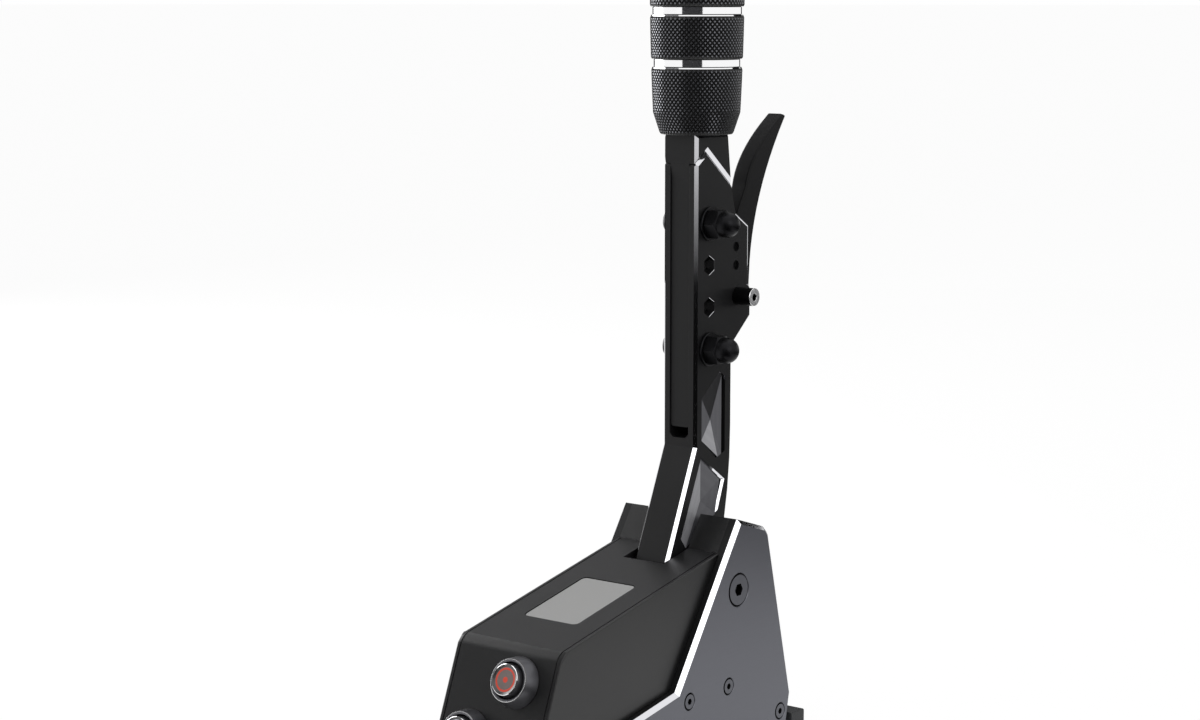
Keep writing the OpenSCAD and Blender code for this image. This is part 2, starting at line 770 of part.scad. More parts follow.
// Sleeve between two heights: rows of diamonds with their tips on the grip's outline
module sleeve(z0, z1, rows) {
    n = 2 * knurl_count;
    m = 2 * rows;
    points = [for (j = [0:m], i = [0:n - 1])
        let (z = z0 + (z1 - z0) * j / m, a = 360 * i / n, tip = j > 0 && j < m && (i + j) % 2 == 1)
        let (r = grip_radius(z) - (tip ? 0 : knurl_depth)) [r * cos(a), r * sin(a), z]];
    facets = [for (j = [0:m - 1], i = [0:n - 1]) let (p = j * n + i, q = j * n + (i + 1) % n)
        each (i + j) % 2 == 0 ? [[p, q + n, q], [p, p + n, q + n]] : [[p, p + n, q], [q, p + n, q + n]]];
    ends = [[for (i = [0:n - 1]) i], [for (i = [n - 1:-1:0]) m * n + i]];
    color("#1d1e20") difference() {
        polyhedron(points, concat(facets, ends), convexity = 10);
        translate([0, 0, z0 - e]) cylinder(r = core_r + run_gap, h = z1 - z0 + 2 * e);
    }
}

module grip_foot_sleeve() {
    sleeve(grip_z, rings_z, foot_rows);
}

function sleeve_z(i) = rings_z + ring_h + (i - 1) * sleeve_pitch;

module grip_sleeve_1() {
    sleeve(sleeve_z(1), sleeve_z(1) + sleeve_h, knurl_rows);
}

module grip_sleeve_2() {
    sleeve(sleeve_z(2), sleeve_z(2) + sleeve_h, knurl_rows);
}

module grip_sleeve_3() {
    sleeve(sleeve_z(3), sleeve_z(3) + sleeve_h, knurl_rows);
}

module grip_sleeve_4() {
    sleeve(sleeve_z(4), sleeve_z(4) + sleeve_h, knurl_rows);
}

module grip_rings() {
    color("#d6d8db") for (i = [1:sleeve_count]) {
        z = sleeve_z(i) - ring_h;
        translate([0, 0, z]) difference() {
            cylinder(r = grip_radius(z) - ring_step, h = ring_h);
            translate([0, 0, -e]) cylinder(r = core_r + run_gap, h = ring_h + 2 * e);
        }
    }
}

module grip_cap() {
    rim_r = grip_radius(cap_z) - ring_step;
    round = cap_h * 0.6;
    color("#1d1e20") {
        rotate_extrude($fn = 96) polygon(concat(
            [[0, cap_z], [rim_r, cap_z]],
            [for (a = [0:15:90]) [rim_r - round * (1 - cos(a)), cap_z + cap_h - round * (1 - sin(a))]],
            [[0, cap_z + cap_h]]));
        translate([0, 0, cap_z - cap_stud_l]) cylinder(r = stud_r, h = cap_stud_l + e);
    }
}

module trigger() {
    back = trigger_front + trigger_depth;
    tip_w = 4;
    tip = [trigger_tip_back, trigger_tip_z];
    tip_low = tip - [0.85, 1];
    tip_rounded = bezier(tip_low, tip, tip + [-1.27, 0.29], 4);
    outline = concat(
        [[pin_back, pin_z - boss_r], [back - 2.4, pin_z - 5]],
        bezier([back, pin_z + 6.8], [back + 1.1, pin_z + 34.8], tip_low, 12),
        [for (i = [1:4]) tip_rounded[i]],
        [[trigger_tip_back - tip_w + 1.4, trigger_tip_z + 0.6]],
        bezier([trigger_tip_back - tip_w, trigger_tip_z - 0.4], [trigger_front + 9, pin_z + 51.8],
            [trigger_front + 6.6, pin_z + 39.3], 10),
        [[trigger_front, pin_z + 27.8], [trigger_front, pin_z + 5]]);
    color("#202124") difference() {
        union() {
            slab(outline, trigger_t);
            cross_bar([pin_back, pin_z], boss_r, -trigger_t / 2, trigger_t / 2);
        }
        cross_bar([pin_back, pin_z], pin_r + run_gap, -trigger_t, trigger_t);
    }
}

module trigger_pin() {
    color("#c9cbce") difference() {
        cross_bar([pin_back, pin_z], pin_r, -half_t, half_t + pin_reach);
        cross_bar([pin_back, pin_z], pin_bore_r, -half_t - e, half_t + pin_reach + e);
    }
}

module trigger_spring() {
    color("#a9acb0") translate([0, web_back + fit_gap, trigger_spring_z])
        coil(2.3, 0.4, trigger_front - web_back - 2 * fit_gap, 6);
}

module stop_pins() {
    color("#4a4c50") for (z = stop_pin_zs)
        cross_bar([stop_pin_y, z], stop_pin_r, stop_bore_l - half_t, half_t - stop_bore_l);
}

module tail_pin() {
    color("#b9bcc0") cross_bar([pivot_y, rod_z], tail_pin_r, fit_gap - half_t, half_t - fit_gap);
}

module pull_rod() {
    slot_r = tail_pin_r + clear_gap;
    color("#b9bcc0") difference() {
        union() {
            box([-eye_t / 2, pivot_y - eye_half, rod_z - eye_h / 2],
                [eye_t / 2, pivot_y + eye_half, rod_z + eye_h / 2]);
            rod_bar(rod_r, pull_end_y - rod_washer_t - rod_nut_t - 1, pivot_y - eye_half + e);
            rod_bar(collar_r, collar_y, collar_y + collar_t);
        }
        for (z = [-eye_slot, eye_slot])
            cross_bar([pivot_y, rod_z + z], slot_r, -eye_t, eye_t);
        box([-eye_t, pivot_y - slot_r, rod_z - eye_slot], [eye_t, pivot_y + slot_r, rod_z + eye_slot]);
    }
}

module rod_washer() {
    color("#8d9095") difference() {
        rod_bar(collar_r, pull_end_y - rod_washer_t, pull_end_y);
        rod_bar(rod_r + run_gap, pull_end_y - rod_washer_t - e, pull_end_y + e);
    }
}

module rod_nut() {
    y1 = pull_end_y - rod_washer_t;
    color("#8d9095") difference() {
        translate([0, y1 - rod_nut_t, rod_z]) rotate([-90, 0, 0])
            cylinder(r = nut_corner_r, h = rod_nut_t, $fn = 6);
        rod_bar(rod_r + run_gap, y1 - rod_nut_t - e, y1 + e);
    }
}

module guide_block() {
    color("#3a3b3e") difference() {
        box([-guide_half, -guide_ahead, floor_z], [guide_half, guide_back_y, guide_top_z]);
        rod_bar(rod_r + run_gap, -guide_ahead - e, guide_back_y + e);
        for (at = guide_screws_at)
            translate([at[0], at[1], floor_z - e]) cylinder(r = guide_screw_r + run_gap, h = 12);
    }
}

module pull_spring() {
    color("#a9acb0") translate([0, pull_end_y, rod_z]) coil(spring_r, wire_r, pull_spring_l, 6);
}

module push_spring() {
    color("#a9acb0") translate([0, guide_back_y, rod_z]) coil(spring_r, wire_r, push_spring_l, 4);
}

module sensor_magnet() {
    color("#c9cbce") cross_bar([pivot_y, magnet_z], magnet_r, -half_t, magnet_t - half_t);
}

module sensor_board() {
    ys = [sensor_posts[0][0] - 3.5, sensor_posts[1][0] + 3.5];
    color("#1f4d33") difference() {
        box([-sensor_x - card_t, ys[0], sensor_posts[0][1] - 3.5], [-sensor_x, ys[1], magnet_z + 4]);
        for (at = sensor_posts)
            cross_bar(at, board_screw_r + run_gap, -sensor_x - card_t - e, -sensor_x + e);
    }
}

module sensor_screws() {
    color("#3a3b3e") for (at = sensor_posts) {
        cross_bar(at, board_screw_r, -sensor_x - card_t - 3.5, -sensor_x + e);
        cross_bar(at, 2 * board_screw_r, -sensor_x, -sensor_x + board_screw_head);
    }
}

module display_lens() {
    color("#8f9296") on_deck() translate([0, 0, -wall])
        round_plate(lens_w, lens_l, wall - lens_sink, lens_corner);
}

module display_module() {
    color("#24324a") on_deck() difference() {
        union() {
            translate([0, 0, module_z - module_t]) round_plate(lens_w, lens_l, module_t, lens_corner);
            translate([0, 0, module_z - module_t - card_t]) round_plate(card_w, card_l, card_t, 1.5);
        }
        for (at = board_posts)
            translate([at[0], at[1], module_z - module_t - card_t - e])
                cylinder(r = board_screw_r + run_gap, h = card_t + 2 * e);
    }
}

module board_spacers() {
    color("#c2a65a") on_deck() for (at = board_posts)
        translate([at[0], at[1], board_z]) difference() {
            cylinder(r = post_r, h = module_z - module_t - card_t - board_z);
            translate([0, 0, -e]) cylinder(r = board_screw_r + run_gap, h = 10);
        }
}

module main_board() {
    color("#1f4d33") on_deck() difference() {
        translate([0, 0, board_z - card_t]) union() {
            round_plate(card_w, card_l, card_t, 1.5);
            translate([0, 0, card_t / 2]) round_plate(12, 12, card_t / 2 + 1.2, 0.5);
        }
        for (at = board_posts)
            translate([at[0], at[1], board_z - card_t - e])
                cylinder(r = board_screw_r + run_gap, h = card_t + 2 * e);
    }
}

module board_screws() {
    low = board_z - card_t;
    color("#3a3b3e") on_deck() for (at = board_posts) translate([at[0], at[1], 0]) {
        translate([0, 0, low - board_screw_head]) cylinder(r = 2 * board_screw_r, h = board_screw_head);
        translate([0, 0, low - e]) cylinder(r = board_screw_r, h = module_z - low + e + 0.5);
    }
}

module button_body() {
    cap_space = button_cap_r + clear_gap;
    color("#26272a") difference() {
        union() {
            translate([0, 0, -button_body_l]) cylinder(r = button_body_r, h = button_body_l + e);
            cylinder(r = button_flange_r, h = button_flange_h);
            translate([0, 0, button_flange_h])
                cylinder(r1 = button_flange_r, r2 = button_collar_r, h = button_collar_h - button_flange_h);
        }
        translate([0, 0, -6]) cylinder(r = cap_space, h = button_collar_h + 6 + e);
    }
}

module button_cap() {
    color("#3a1512") {
        translate([0, 0, -3]) cylinder(r = button_cap_r, h = button_reach + 3 - 0.6);
        translate([0, 0, button_reach - 0.6])
            cylinder(r1 = button_cap_r, r2 = button_cap_r - 0.6, h = 0.6);
    }
}

module button_nut() {
    color("#8d9095") translate([0, 0, -wall - button_nut_t]) difference() {
        rotate([0, 0, 30]) cylinder(r = button_nut_r, h = button_nut_t, $fn = 6);
        translate([0, 0, -e]) cylinder(r = button_body_r + run_gap, h = button_nut_t + 2 * e);
    }
}

module upper_button_body() {
    on_front(upper_button_at) button_body();
}

module upper_button_nut() {
    on_front(upper_button_at) button_nut();
}

module upper_button_cap() {
    on_front(upper_button_at) button_cap();
}

module lower_button_body() {
    on_front(lower_button_at) button_body();
}

module lower_button_nut() {
    on_front(lower_button_at) button_nut();
}

module lower_button_cap() {
    on_front(lower_button_at) button_cap();
}

module rear_panel() {
    color("#26272a") on_back() difference() {
        box([fit_gap - panel_w / 2, -panel_t, fit_gap - panel_h / 2],
            [panel_w / 2 - fit_gap, 0, panel_h / 2 - fit_gap]);
        box([-port_w / 2 - fit_gap, -panel_t - e, -port_h / 2 - fit_gap],
            [port_w / 2 + fit_gap, e, port_h / 2 + fit_gap]);
    }
}

module inlet_socket() {
    skin = 0.4;
    color("#b9bcc0") on_back() difference() {
        box([-port_w / 2, -port_l, -port_h / 2], [port_w / 2, 0.3, port_h / 2]);
        box([skin - port_w / 2, 0.3 - 6, skin - port_h / 2], [port_w / 2 - skin, e, port_h / 2 - skin]);
    }
}

// Puts a piece on the floor, with the middle of the bolt pattern at the origin
module placed() {
    translate([0, axis_back, pivot_h]) children();
}

placed() base_plate();
placed() housing();
placed() left_side_plate();
placed() right_side_plate();
placed() plate_screws();
placed() base_screws();
placed() pivot_axle();
placed() axle_screws();
placed() axle_spacers();
placed() pivot_bushes();
placed() lever_body();
placed() upper_inserts();
placed() lower_inserts();
placed() grip_stem();
placed() clamp_bolts();
placed() clamp_washers();
placed() acorn_nuts();
placed() grip_core();
placed() grip_foot_sleeve();
placed() grip_sleeve_1();
placed() grip_sleeve_2();
placed() grip_sleeve_3();
placed() grip_sleeve_4();
placed() grip_rings();
placed() grip_cap();
placed() trigger();
placed() trigger_pin();
placed() trigger_spring();
placed() stop_pins();
placed() tail_pin();
placed() pull_rod();
placed() rod_washer();
placed() rod_nut();
placed() guide_block();
placed() guide_screws();
placed() pull_spring();
placed() push_spring();
placed() sensor_magnet();
placed() sensor_board();
placed() sensor_screws();
placed() display_lens();
placed() display_module();
placed() board_spacers();
placed() main_board();
placed() board_screws();
placed() upper_button_body();
placed() upper_button_nut();
placed() upper_button_cap();
placed() lower_button_body();
placed() lower_button_nut();
placed() lower_button_cap();
placed() rear_panel();
placed() inlet_socket();
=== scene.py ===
"""Dresses a sim racing lever unit: knurled grip, clamped lever, trigger, display and push buttons."""

import json
import math

import bmesh
import bpy
from bpy.props import FloatProperty, FloatVectorProperty, IntProperty, PointerProperty
from mathutils import Matrix, Vector


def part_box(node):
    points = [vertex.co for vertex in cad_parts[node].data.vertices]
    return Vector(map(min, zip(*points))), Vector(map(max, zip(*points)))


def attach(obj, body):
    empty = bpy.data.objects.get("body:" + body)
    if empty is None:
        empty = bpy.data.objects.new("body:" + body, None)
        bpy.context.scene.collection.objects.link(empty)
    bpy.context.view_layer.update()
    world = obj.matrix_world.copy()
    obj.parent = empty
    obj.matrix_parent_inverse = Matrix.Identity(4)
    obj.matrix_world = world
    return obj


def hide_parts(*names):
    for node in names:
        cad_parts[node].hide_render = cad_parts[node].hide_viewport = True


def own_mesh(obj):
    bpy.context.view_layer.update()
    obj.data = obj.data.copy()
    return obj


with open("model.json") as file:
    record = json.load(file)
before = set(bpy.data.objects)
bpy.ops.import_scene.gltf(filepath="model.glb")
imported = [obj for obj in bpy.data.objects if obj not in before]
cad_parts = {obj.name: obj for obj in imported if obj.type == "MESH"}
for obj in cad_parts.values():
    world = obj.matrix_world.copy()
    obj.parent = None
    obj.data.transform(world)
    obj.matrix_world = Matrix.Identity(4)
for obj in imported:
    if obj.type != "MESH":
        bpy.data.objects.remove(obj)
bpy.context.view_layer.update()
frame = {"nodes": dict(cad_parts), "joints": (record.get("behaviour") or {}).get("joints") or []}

bl_info = {
    "name": "Sim racing lever unit",
    "version": (1, 0, 0),
    "blender": (4, 5, 0),
    "location": "View3D > Sidebar > Lever unit",
    "description": "Builds the visible pieces of a pull lever with grip, trigger, display and buttons",
    "category": "Object",
}

MM = 0.001

# Places and sizes that several pieces share, read from the frame
GRIP_Y = sum(corner.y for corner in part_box("grip_rings")) / 2
LEVER_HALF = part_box("lever_body")[1].x
PLATE_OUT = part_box("right_side_plate")[1].x
HOUSING_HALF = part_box("housing")[1].x
PIVOT_Y, PIVOT_Z = frame["joints"][0]["pos_m"][1:]
# Middle of a button cap above the front face
CAP_MIDDLE = 2.25 * MM

# Slopes of the housing, degrees, and the direction that its deck faces
FRONT_LEAN = 21.2
DECK_SLOPE = 12.3
DECK_UP = Vector((0, -math.sin(math.radians(DECK_SLOPE)), math.cos(math.radians(DECK_SLOPE))))

# Grip barrel: largest radius, its height and how fast it thins out, in millimetres
GRIP_R = 17.1
GRIP_MID_Z = 285.0
GRIP_CURVE = 0.00045
GRIP_FOOT_R = 13.2
GRIP_CONE_H = 7.8
CORE_R = 9.05

# Mesh handling: reach of a weld, slack of a place, and the angles of flat, sharp, smooth and crisp edges
WELD = 0.002 * MM
SLACK = 0.02 * MM
FLAT = math.radians(0.4)
SHARP = math.radians(25)
SMOOTH = math.radians(35)
CRISP = math.radians(6)

# Slope of the facets that are cut bright: the share of their normal that points sideways
BRIGHT_FACET = (0.6, 0.8)

# Materials by the function that makes them
MADE = {}


def linear(code):
    """sRGB hex colour as linear RGBA."""
    parts = [int(code[i:i + 2], 16) / 255 for i in (1, 3, 5)]
    return tuple(c / 12.92 if c <= 0.04045 else ((c + 0.055) / 1.055) ** 2.4 for c in parts) + (1.0,)


def colour(name, description, code):
    """Colour property with a hex default."""
    return FloatVectorProperty(name=name, description=description, subtype="COLOR", size=4,
                               min=0, max=1, default=linear(code))


def length(name, description, millimetres):
    """Length property with a default in millimetres."""
    return FloatProperty(name=name, description=description, unit="LENGTH", default=millimetres * MM,
                         min=0, precision=5)


class LeverUnitSizes(bpy.types.PropertyGroup):
    """Sizes of the finer forms."""

    knurl_count: IntProperty(name="Knurl count", description="Diamonds around the grip",
                             default=62, min=24, max=120)
    knurl_pitch: length("Knurl pitch", "Height of one diamond of the knurl", 1.94)
    knurl_depth: length("Knurl depth", "Depth of the grooves of the knurl", 0.55)
    knurl_land: FloatProperty(name="Knurl land", description="Share of each diamond that is left flat",
                              default=0.42, min=0.1, max=0.6)
    sleeve_edge: length("Sleeve edge", "Bright chamfer at the upper end of each sleeve", 0.45)
    housing_round: length("Housing rounding", "Radius along the side edges of the housing", 1.3)
    nose_round: length("Nose rounding", "Setback of the rounding between deck and front of the housing", 3.2)
    joint_in: length("Joint inset", "Distance of the housing's joint lines from its sides", 1.5)
    joint_width: length("Joint width", "Width of the housing's joint lines", 0.4)
    joint_depth: length("Joint depth", "Depth of the housing's joint lines", 0.4)
    trigger_round: length("Trigger rounding", "Radius along the edges of the trigger", 0.9)
    groove_break: length("Groove break", "Broken edges of the front groove and tongue", 0.35)


class LeverUnitColours(bpy.types.PropertyGroup):
    """Colours of the finishes."""

    anodised: colour("Anodised black", "Lever body and stem", "#141415")
    # The light grey of the knurl's lands is a painted sheen; its grooves carry painted shade
    knurled: colour("Knurled black", "Lands of the grip's knurl", "#7a7b80")
    trigger: colour("Trigger black", "Trigger blade", "#121213")
    plate: colour("Plate grey", "Side plates", "#696a70")
    moulded: colour("Moulded black", "Housing", "#0f0f10")
    powder: colour("Powder black", "Base plate", "#242527")
    oxide: colour("Black oxide", "Screws, nuts and washers", "#1e1e20")
    bright: colour("Bright metal", "Rings and pins", "#fafafb")
    cut: colour("Bright cut", "Chamfers cut after dyeing", "#e4e4e8")
    # The pale and dark insert greys are painted highlight and painted shade on single facets of one nylon
    insert: colour("Insert grey", "Middle facets of the lever's inserts", "#616165")
    insert_pale_painted_highlight: colour("Insert pale", "Palest facets of the lever's inserts", "#a2a2a6")
    insert_painted_shade: colour("Insert dark", "Darkest facets of the lever's inserts", "#232325")
    glass: colour("Display grey", "Unlit display behind its glass", "#9a9a99")
    lit: colour("Lit ring", "Light of the upper button", "#b83c2a")
    pale: colour("Pale lens", "Lens of the lower button", "#dcd9ea")
    board: colour("Board green", "Circuit boards", "#1f4d33")


def add(tree, kind, inputs=None, **settings):
    """Adds a node; inputs maps a socket to a value or to the output that feeds it."""
    node = tree.nodes.new(kind)
    for key, value in settings.items():
        setattr(node, key, value)
    for key, value in (inputs or {}).items():
        if isinstance(value, bpy.types.NodeSocket):
            tree.links.new(value, node.inputs[key])
        else:
            node.inputs[key].default_value = value
    return node


def per(millimetres):
    """Texture scale that gives a pattern this size."""
    return 1 / (millimetres * MM)


def start(name, base, roughness, metallic=0.0, specular=0.5):
    """New material with plain values on its shader."""
    material = bpy.data.materials.new(name)
    material.use_nodes = True
    tree = material.node_tree
    shader = tree.nodes["Principled BSDF"]
    shader.inputs["Base Color"].default_value = base
    shader.inputs["Roughness"].default_value = roughness
    shader.inputs["Metallic"].default_value = metallic
    shader.inputs["Specular IOR Level"].default_value = specular
    return material, tree, shader


def patterned(*values):
    """New material as above, with the piece's own coordinates for its patterns."""
    material, tree, shader = start(*values)
    return material, tree, shader, add(tree, "ShaderNodeTexCoord").outputs["Object"]


def surface(tree, shader, height, depth, strength=1.0):
    """Relief of a given depth in millimetres from a height pattern."""
    bump = add(tree, "ShaderNodeBump", {"Height": height, "Distance": depth * MM, "Strength": strength})
    tree.links.new(bump.outputs["Normal"], shader.inputs["Normal"])


def vary(tree, shader, pattern, socket, low, high):
    """Lets a pattern move one of the shader's numbers between two values."""
    spread = add(tree, "ShaderNodeMapRange", {"Value": pattern, "To Min": low, "To Max": high})
    tree.links.new(spread.outputs["Result"], shader.inputs[socket])


def tint(tree, shader, pattern, dark, light):
    """Lets a pattern move the base colour between two shades of itself."""
    base = shader.inputs["Base Color"].default_value[:]
    shades = [tuple(c * share for c in base[:3]) + (1.0,) for share in (dark, light)]
    mix = add(tree, "ShaderNodeMix", {"Factor": pattern, "A": shades[0], "B": shades[1]}, data_type="RGBA")
    tree.links.new(mix.outputs["Result"], shader.inputs["Base Color"])


def grained(values, size, detail, relief=None, rough=None, shade=None):
    """New material with one grain, its size in millimetres, in its relief, roughness or shade."""
    material, tree, shader, where = patterned(*values)
    noise = add(tree, "ShaderNodeTexNoise", {"Vector": where, "Scale": per(size), "Detail": detail})
    grain = noise.outputs["Fac"]
    if relief:
        surface(tree, shader, grain, relief)
    if rough:
        vary(tree, shader, grain, "Roughness", *rough)
    if shade:
        tint(tree, shader, grain, *shade)
    return material


def anodised_black(colours):
    # Anodised aluminium, milled, bead-blasted and dyed black: matte satin, its grit drawn coarse to show
    material, tree, shader, where = patterned(
        "anodised_aluminium_blasted_black", colours.anodised, 0.46, 0.0, 0.22)
    grit = add(tree, "ShaderNodeTexNoise", {"Vector": where, "Scale": per(0.35), "Detail": 3.0})
    cloud = add(tree, "ShaderNodeTexNoise", {"Vector": where, "Scale": per(22), "Detail": 2.0})
    surface(tree, shader, grit.outputs["Fac"], 0.012)
    vary(tree, shader, cloud.outputs["Fac"], "Roughness", 0.40, 0.52)
    tint(tree, shader, cloud.outputs["Fac"], 0.9, 1.12)
    return material


def bright_cut(colours):
    # Aluminium, edge cut bright with a diamond after anodising: mirror-like with faint cutter lines
    material, tree, shader, where = patterned("aluminium_bright_cut", colours.cut, 0.05, 1.0)
    lines = add(tree, "ShaderNodeTexWave", {"Vector": where, "Scale": per(1.2), "Distortion": 1.0},
                bands_direction="DIAGONAL")
    vary(tree, shader, lines.outputs["Fac"], "Roughness", 0.03, 0.07)
    return material


def knurled_black(colours):
    # Anodised aluminium, diamond knurled on the lathe: flat lands in a light grey metal, a painted sheen
    # against the dark grooves
    return grained(("anodised_aluminium_knurled_black", colours.knurled, 0.24, 0.85, 0.4), 0.8, 2.0,
                   rough=(0.18, 0.32), shade=(0.6, 1.3))


def knurl_groove_painted_shade(colours):
    # The same sleeve in its grooves: painted shade, black and dull against the light lands
    return grained(("anodised_aluminium_groove_black", linear("#1b1b1c"), 0.45, 0.0, 0.5), 0.6, 2.0,
                   rough=(0.42, 0.6))


def trigger_black(colours):
    # Aluminium, cast, tumbled and dyed black: soft edges and a broad dull sheen
    return grained(("aluminium_tumbled_black", colours.trigger, 0.42, 0.0, 0.12), 0.5, 3.0,
                   relief=0.015, rough=(0.36, 0.48))


def side_plate_grey(colours):
    # Anodised aluminium sheet, brushed lightly and dyed dark grey: a soft metallic sheen with fine strokes
    material, tree, shader, where = patterned("anodised_aluminium_sheet_grey", colours.plate, 0.36, 0.9, 0.5)
    stretch = add(tree, "ShaderNodeMapping", {"Vector": where, "Scale": (1.0, 0.04, 1.0)})
    strokes = add(tree, "ShaderNodeTexNoise",
                  {"Vector": stretch.outputs["Vector"], "Scale": per(0.45), "Detail": 3.0})
    surface(tree, shader, strokes.outputs["Fac"], 0.006)
    vary(tree, shader, strokes.outputs["Fac"], "Roughness", 0.32, 0.42)
    tint(tree, shader, strokes.outputs["Fac"], 0.94, 1.06)
    return material


def moulded_black(colours):
    # ABS, moulded against a spark-eroded tool: a satin black with an even pebble, drawn coarse to show
    material, tree, shader, where = patterned("abs_moulded_textured_black", colours.moulded, 0.33, 0.0, 0.5)
    pebble = add(tree, "ShaderNodeTexVoronoi", {"Vector": where, "Scale": per(0.45), "Randomness": 1.0})
    flow = add(tree, "ShaderNodeTexNoise", {"Vector": where, "Scale": per(30), "Detail": 1.0})
    surface(tree, shader, pebble.outputs["Distance"], 0.02, 0.6)
    vary(tree, shader, flow.outputs["Fac"], "Roughness", 0.30, 0.37)
    tint(tree, shader, flow.outputs["Fac"], 0.95, 1.06)
    return material


def base_black(colours):
    # Steel plate, powder coated black: a fine orange-peel skin
    return grained(("steel_powder_coated_black", colours.powder, 0.55, 0.0, 0.4), 0.9, 1.0,
                   relief=0.05, rough=(0.5, 0.62))


def black_steel(colours):
    # Steel, forged and turned, black oxide in oil: dark metal with a greasy sheen
    return grained(("steel_black_oxide", colours.oxide, 0.36, 0.9, 0.5), 2.5, 3.0,
                   rough=(0.3, 0.44), shade=(0.85, 1.1))


def plate_screw_grey(colours):
    # Steel, forged, top faced and dyed to the plate's grey: a plain satin with faint turning marks
    return grained(("steel_faced_grey", colours.plate, 0.36, 0.9, 0.5), 0.8, 2.0,
                   rough=(0.32, 0.44), shade=(0.76, 0.92))


def bright_steel(colours):
    # Stainless steel, ground: clean metal with fine grinding marks
    return grained(("stainless_steel_ground", colours.bright, 0.24, 1.0), 0.7, 3.0, rough=(0.18, 0.32))


def bright_ring(colours):
    # Stainless steel, turned and polished: a mirror that shows the studio
    return grained(("stainless_steel_polished", colours.bright, 0.06, 1.0), 0.6, 2.0, rough=(0.04, 0.1))


def spring_steel(colours):
    # Music wire, cold drawn: grey metal with fine drawing marks
    return grained(("music_wire_drawn", linear("#a9acb0"), 0.3, 1.0), 0.5, 2.0, rough=(0.24, 0.4))


def plain_aluminium(colours):
    # Aluminium, turned and left plain: pale metal with soft tool marks
    return grained(("aluminium_turned_plain", linear("#b4b6ba"), 0.36, 1.0), 0.6, 2.0, rough=(0.3, 0.44))


def bronze(colours):
    # Bronze, sintered and oiled: warm metal, open-grained and dull
    return grained(("bronze_sintered", linear("#a8824a"), 0.5, 1.0), 0.3, 3.0, relief=0.02, shade=(0.8, 1.1))


def dotted_nylon(name, base):
    # Glass-filled nylon, moulded with a fine dot grid: satin facets
    material, tree, shader, where = patterned(name, base, 0.4, 0.3, 0.4)
    dots = add(tree, "ShaderNodeTexVoronoi", {"Vector": where, "Scale": per(0.55), "Randomness": 0.0})
    surface(tree, shader, dots.outputs["Distance"], 0.05, 0.5)
    tint(tree, shader, dots.outputs["Distance"], 0.8, 1.15)
    return material


def insert_grey(colours):
    # The dotted nylon in the middle grey of most facets
    return dotted_nylon("nylon_moulded_dotted_grey", colours.insert)


def insert_painted_highlight(colours):
    # The dotted nylon in a pale grey on single facets: painted highlight
    return dotted_nylon("nylon_moulded_dotted_pale", colours.insert_pale_painted_highlight)


def insert_painted_shade(colours):
    # The dotted nylon in a dark grey on single facets: painted shade
    return dotted_nylon("nylon_moulded_dotted_dark", colours.insert_painted_shade)


def display_glass(colours):
    # Cover glass over an unlit display: a smooth even grey under a clear reflection
    material, tree, shader, where = patterned("glass_over_unlit_display", colours.glass, 0.16, 0.0, 0.5)
    film = add(tree, "ShaderNodeTexNoise", {"Vector": where, "Scale": per(40), "Detail": 1.0})
    tint(tree, shader, film.outputs["Fac"], 0.94, 1.06)
    shader.inputs["Coat Weight"].default_value = 0.2
    shader.inputs["Coat Roughness"].default_value = 0.05
    return material


def circuit_board(colours):
    # Glass-epoxy board, solder masked: glossy green with a faint weave
    return grained(("epoxy_board_solder_mask", colours.board, 0.35), 1.1, 2.0, shade=(0.85, 1.15))


def button_bezel(colours):
    # Zinc alloy, die cast and satin chromed: the sloping grey border of a button's face
    return grained(("zinc_satin_chrome", linear("#5e5d5d"), 0.34, 0.9), 0.7, 2.0, rough=(0.24, 0.38))


def button_black(colours):
    # Zinc alloy, die cast and painted dark grey: smooth satin barrel
    return grained(("zinc_die_cast_dark_grey", linear("#66666a"), 0.32, 0.85, 0.5), 0.6, 2.0,
                   rough=(0.28, 0.4))


def button_lens(colours):
    # Polycarbonate, moulded smoky grey: a milky satin face
    return grained(("polycarbonate_smoky", linear("#6e6360"), 0.3, 0.0, 0.5), 3, 1.0, shade=(0.92, 1.08))


def button_red(colours):
    # Polycarbonate light guide, lit from behind: an even orange-red glow
    material, tree, shader, where = patterned("polycarbonate_lit_red", colours.lit, 0.35)
    glow = add(tree, "ShaderNodeTexNoise", {"Vector": where, "Scale": per(2.5), "Detail": 1.0})
    shader.inputs["Emission Color"].default_value = colours.lit
    vary(tree, shader, glow.outputs["Fac"], "Emission Strength", 0.1, 0.2)
    return material


def button_white(colours):
    # Polycarbonate, moulded milky white: soft and slightly violet
    return grained(("polycarbonate_milky", colours.pale, 0.3), 3, 1.0, shade=(0.94, 1.04))


def display_rim(colours):
    # Black ink printed behind the cover glass: a deep glossy border
    return grained(("ink_behind_glass_black", linear("#0d0d0e"), 0.15, 0.0, 0.5), 20, 1.0, rough=(0.12, 0.2))


def finish(maker):
    """The material that a function makes, made once."""
    made = MADE.get(maker)
    if made is None:
        made = maker(bpy.context.scene.lever_unit_colours)
        MADE[maker] = made
    return made


def cad_copy(node):
    """Mesh of a CAD node with its triangles joined to flat faces."""
    data = frame["nodes"][node].data
    bm = bmesh.new()
    verts = [bm.verts.new(vert.co) for vert in data.vertices]
    for triangle in data.polygons:
        bm.faces.new([verts[i] for i in triangle.vertices])
    bmesh.ops.remove_doubles(bm, verts=bm.verts, dist=WELD)
    bmesh.ops.dissolve_limit(bm, angle_limit=FLAT, verts=bm.verts, edges=bm.edges)
    for face in bm.faces:
        face.material_index = 0
    return bm


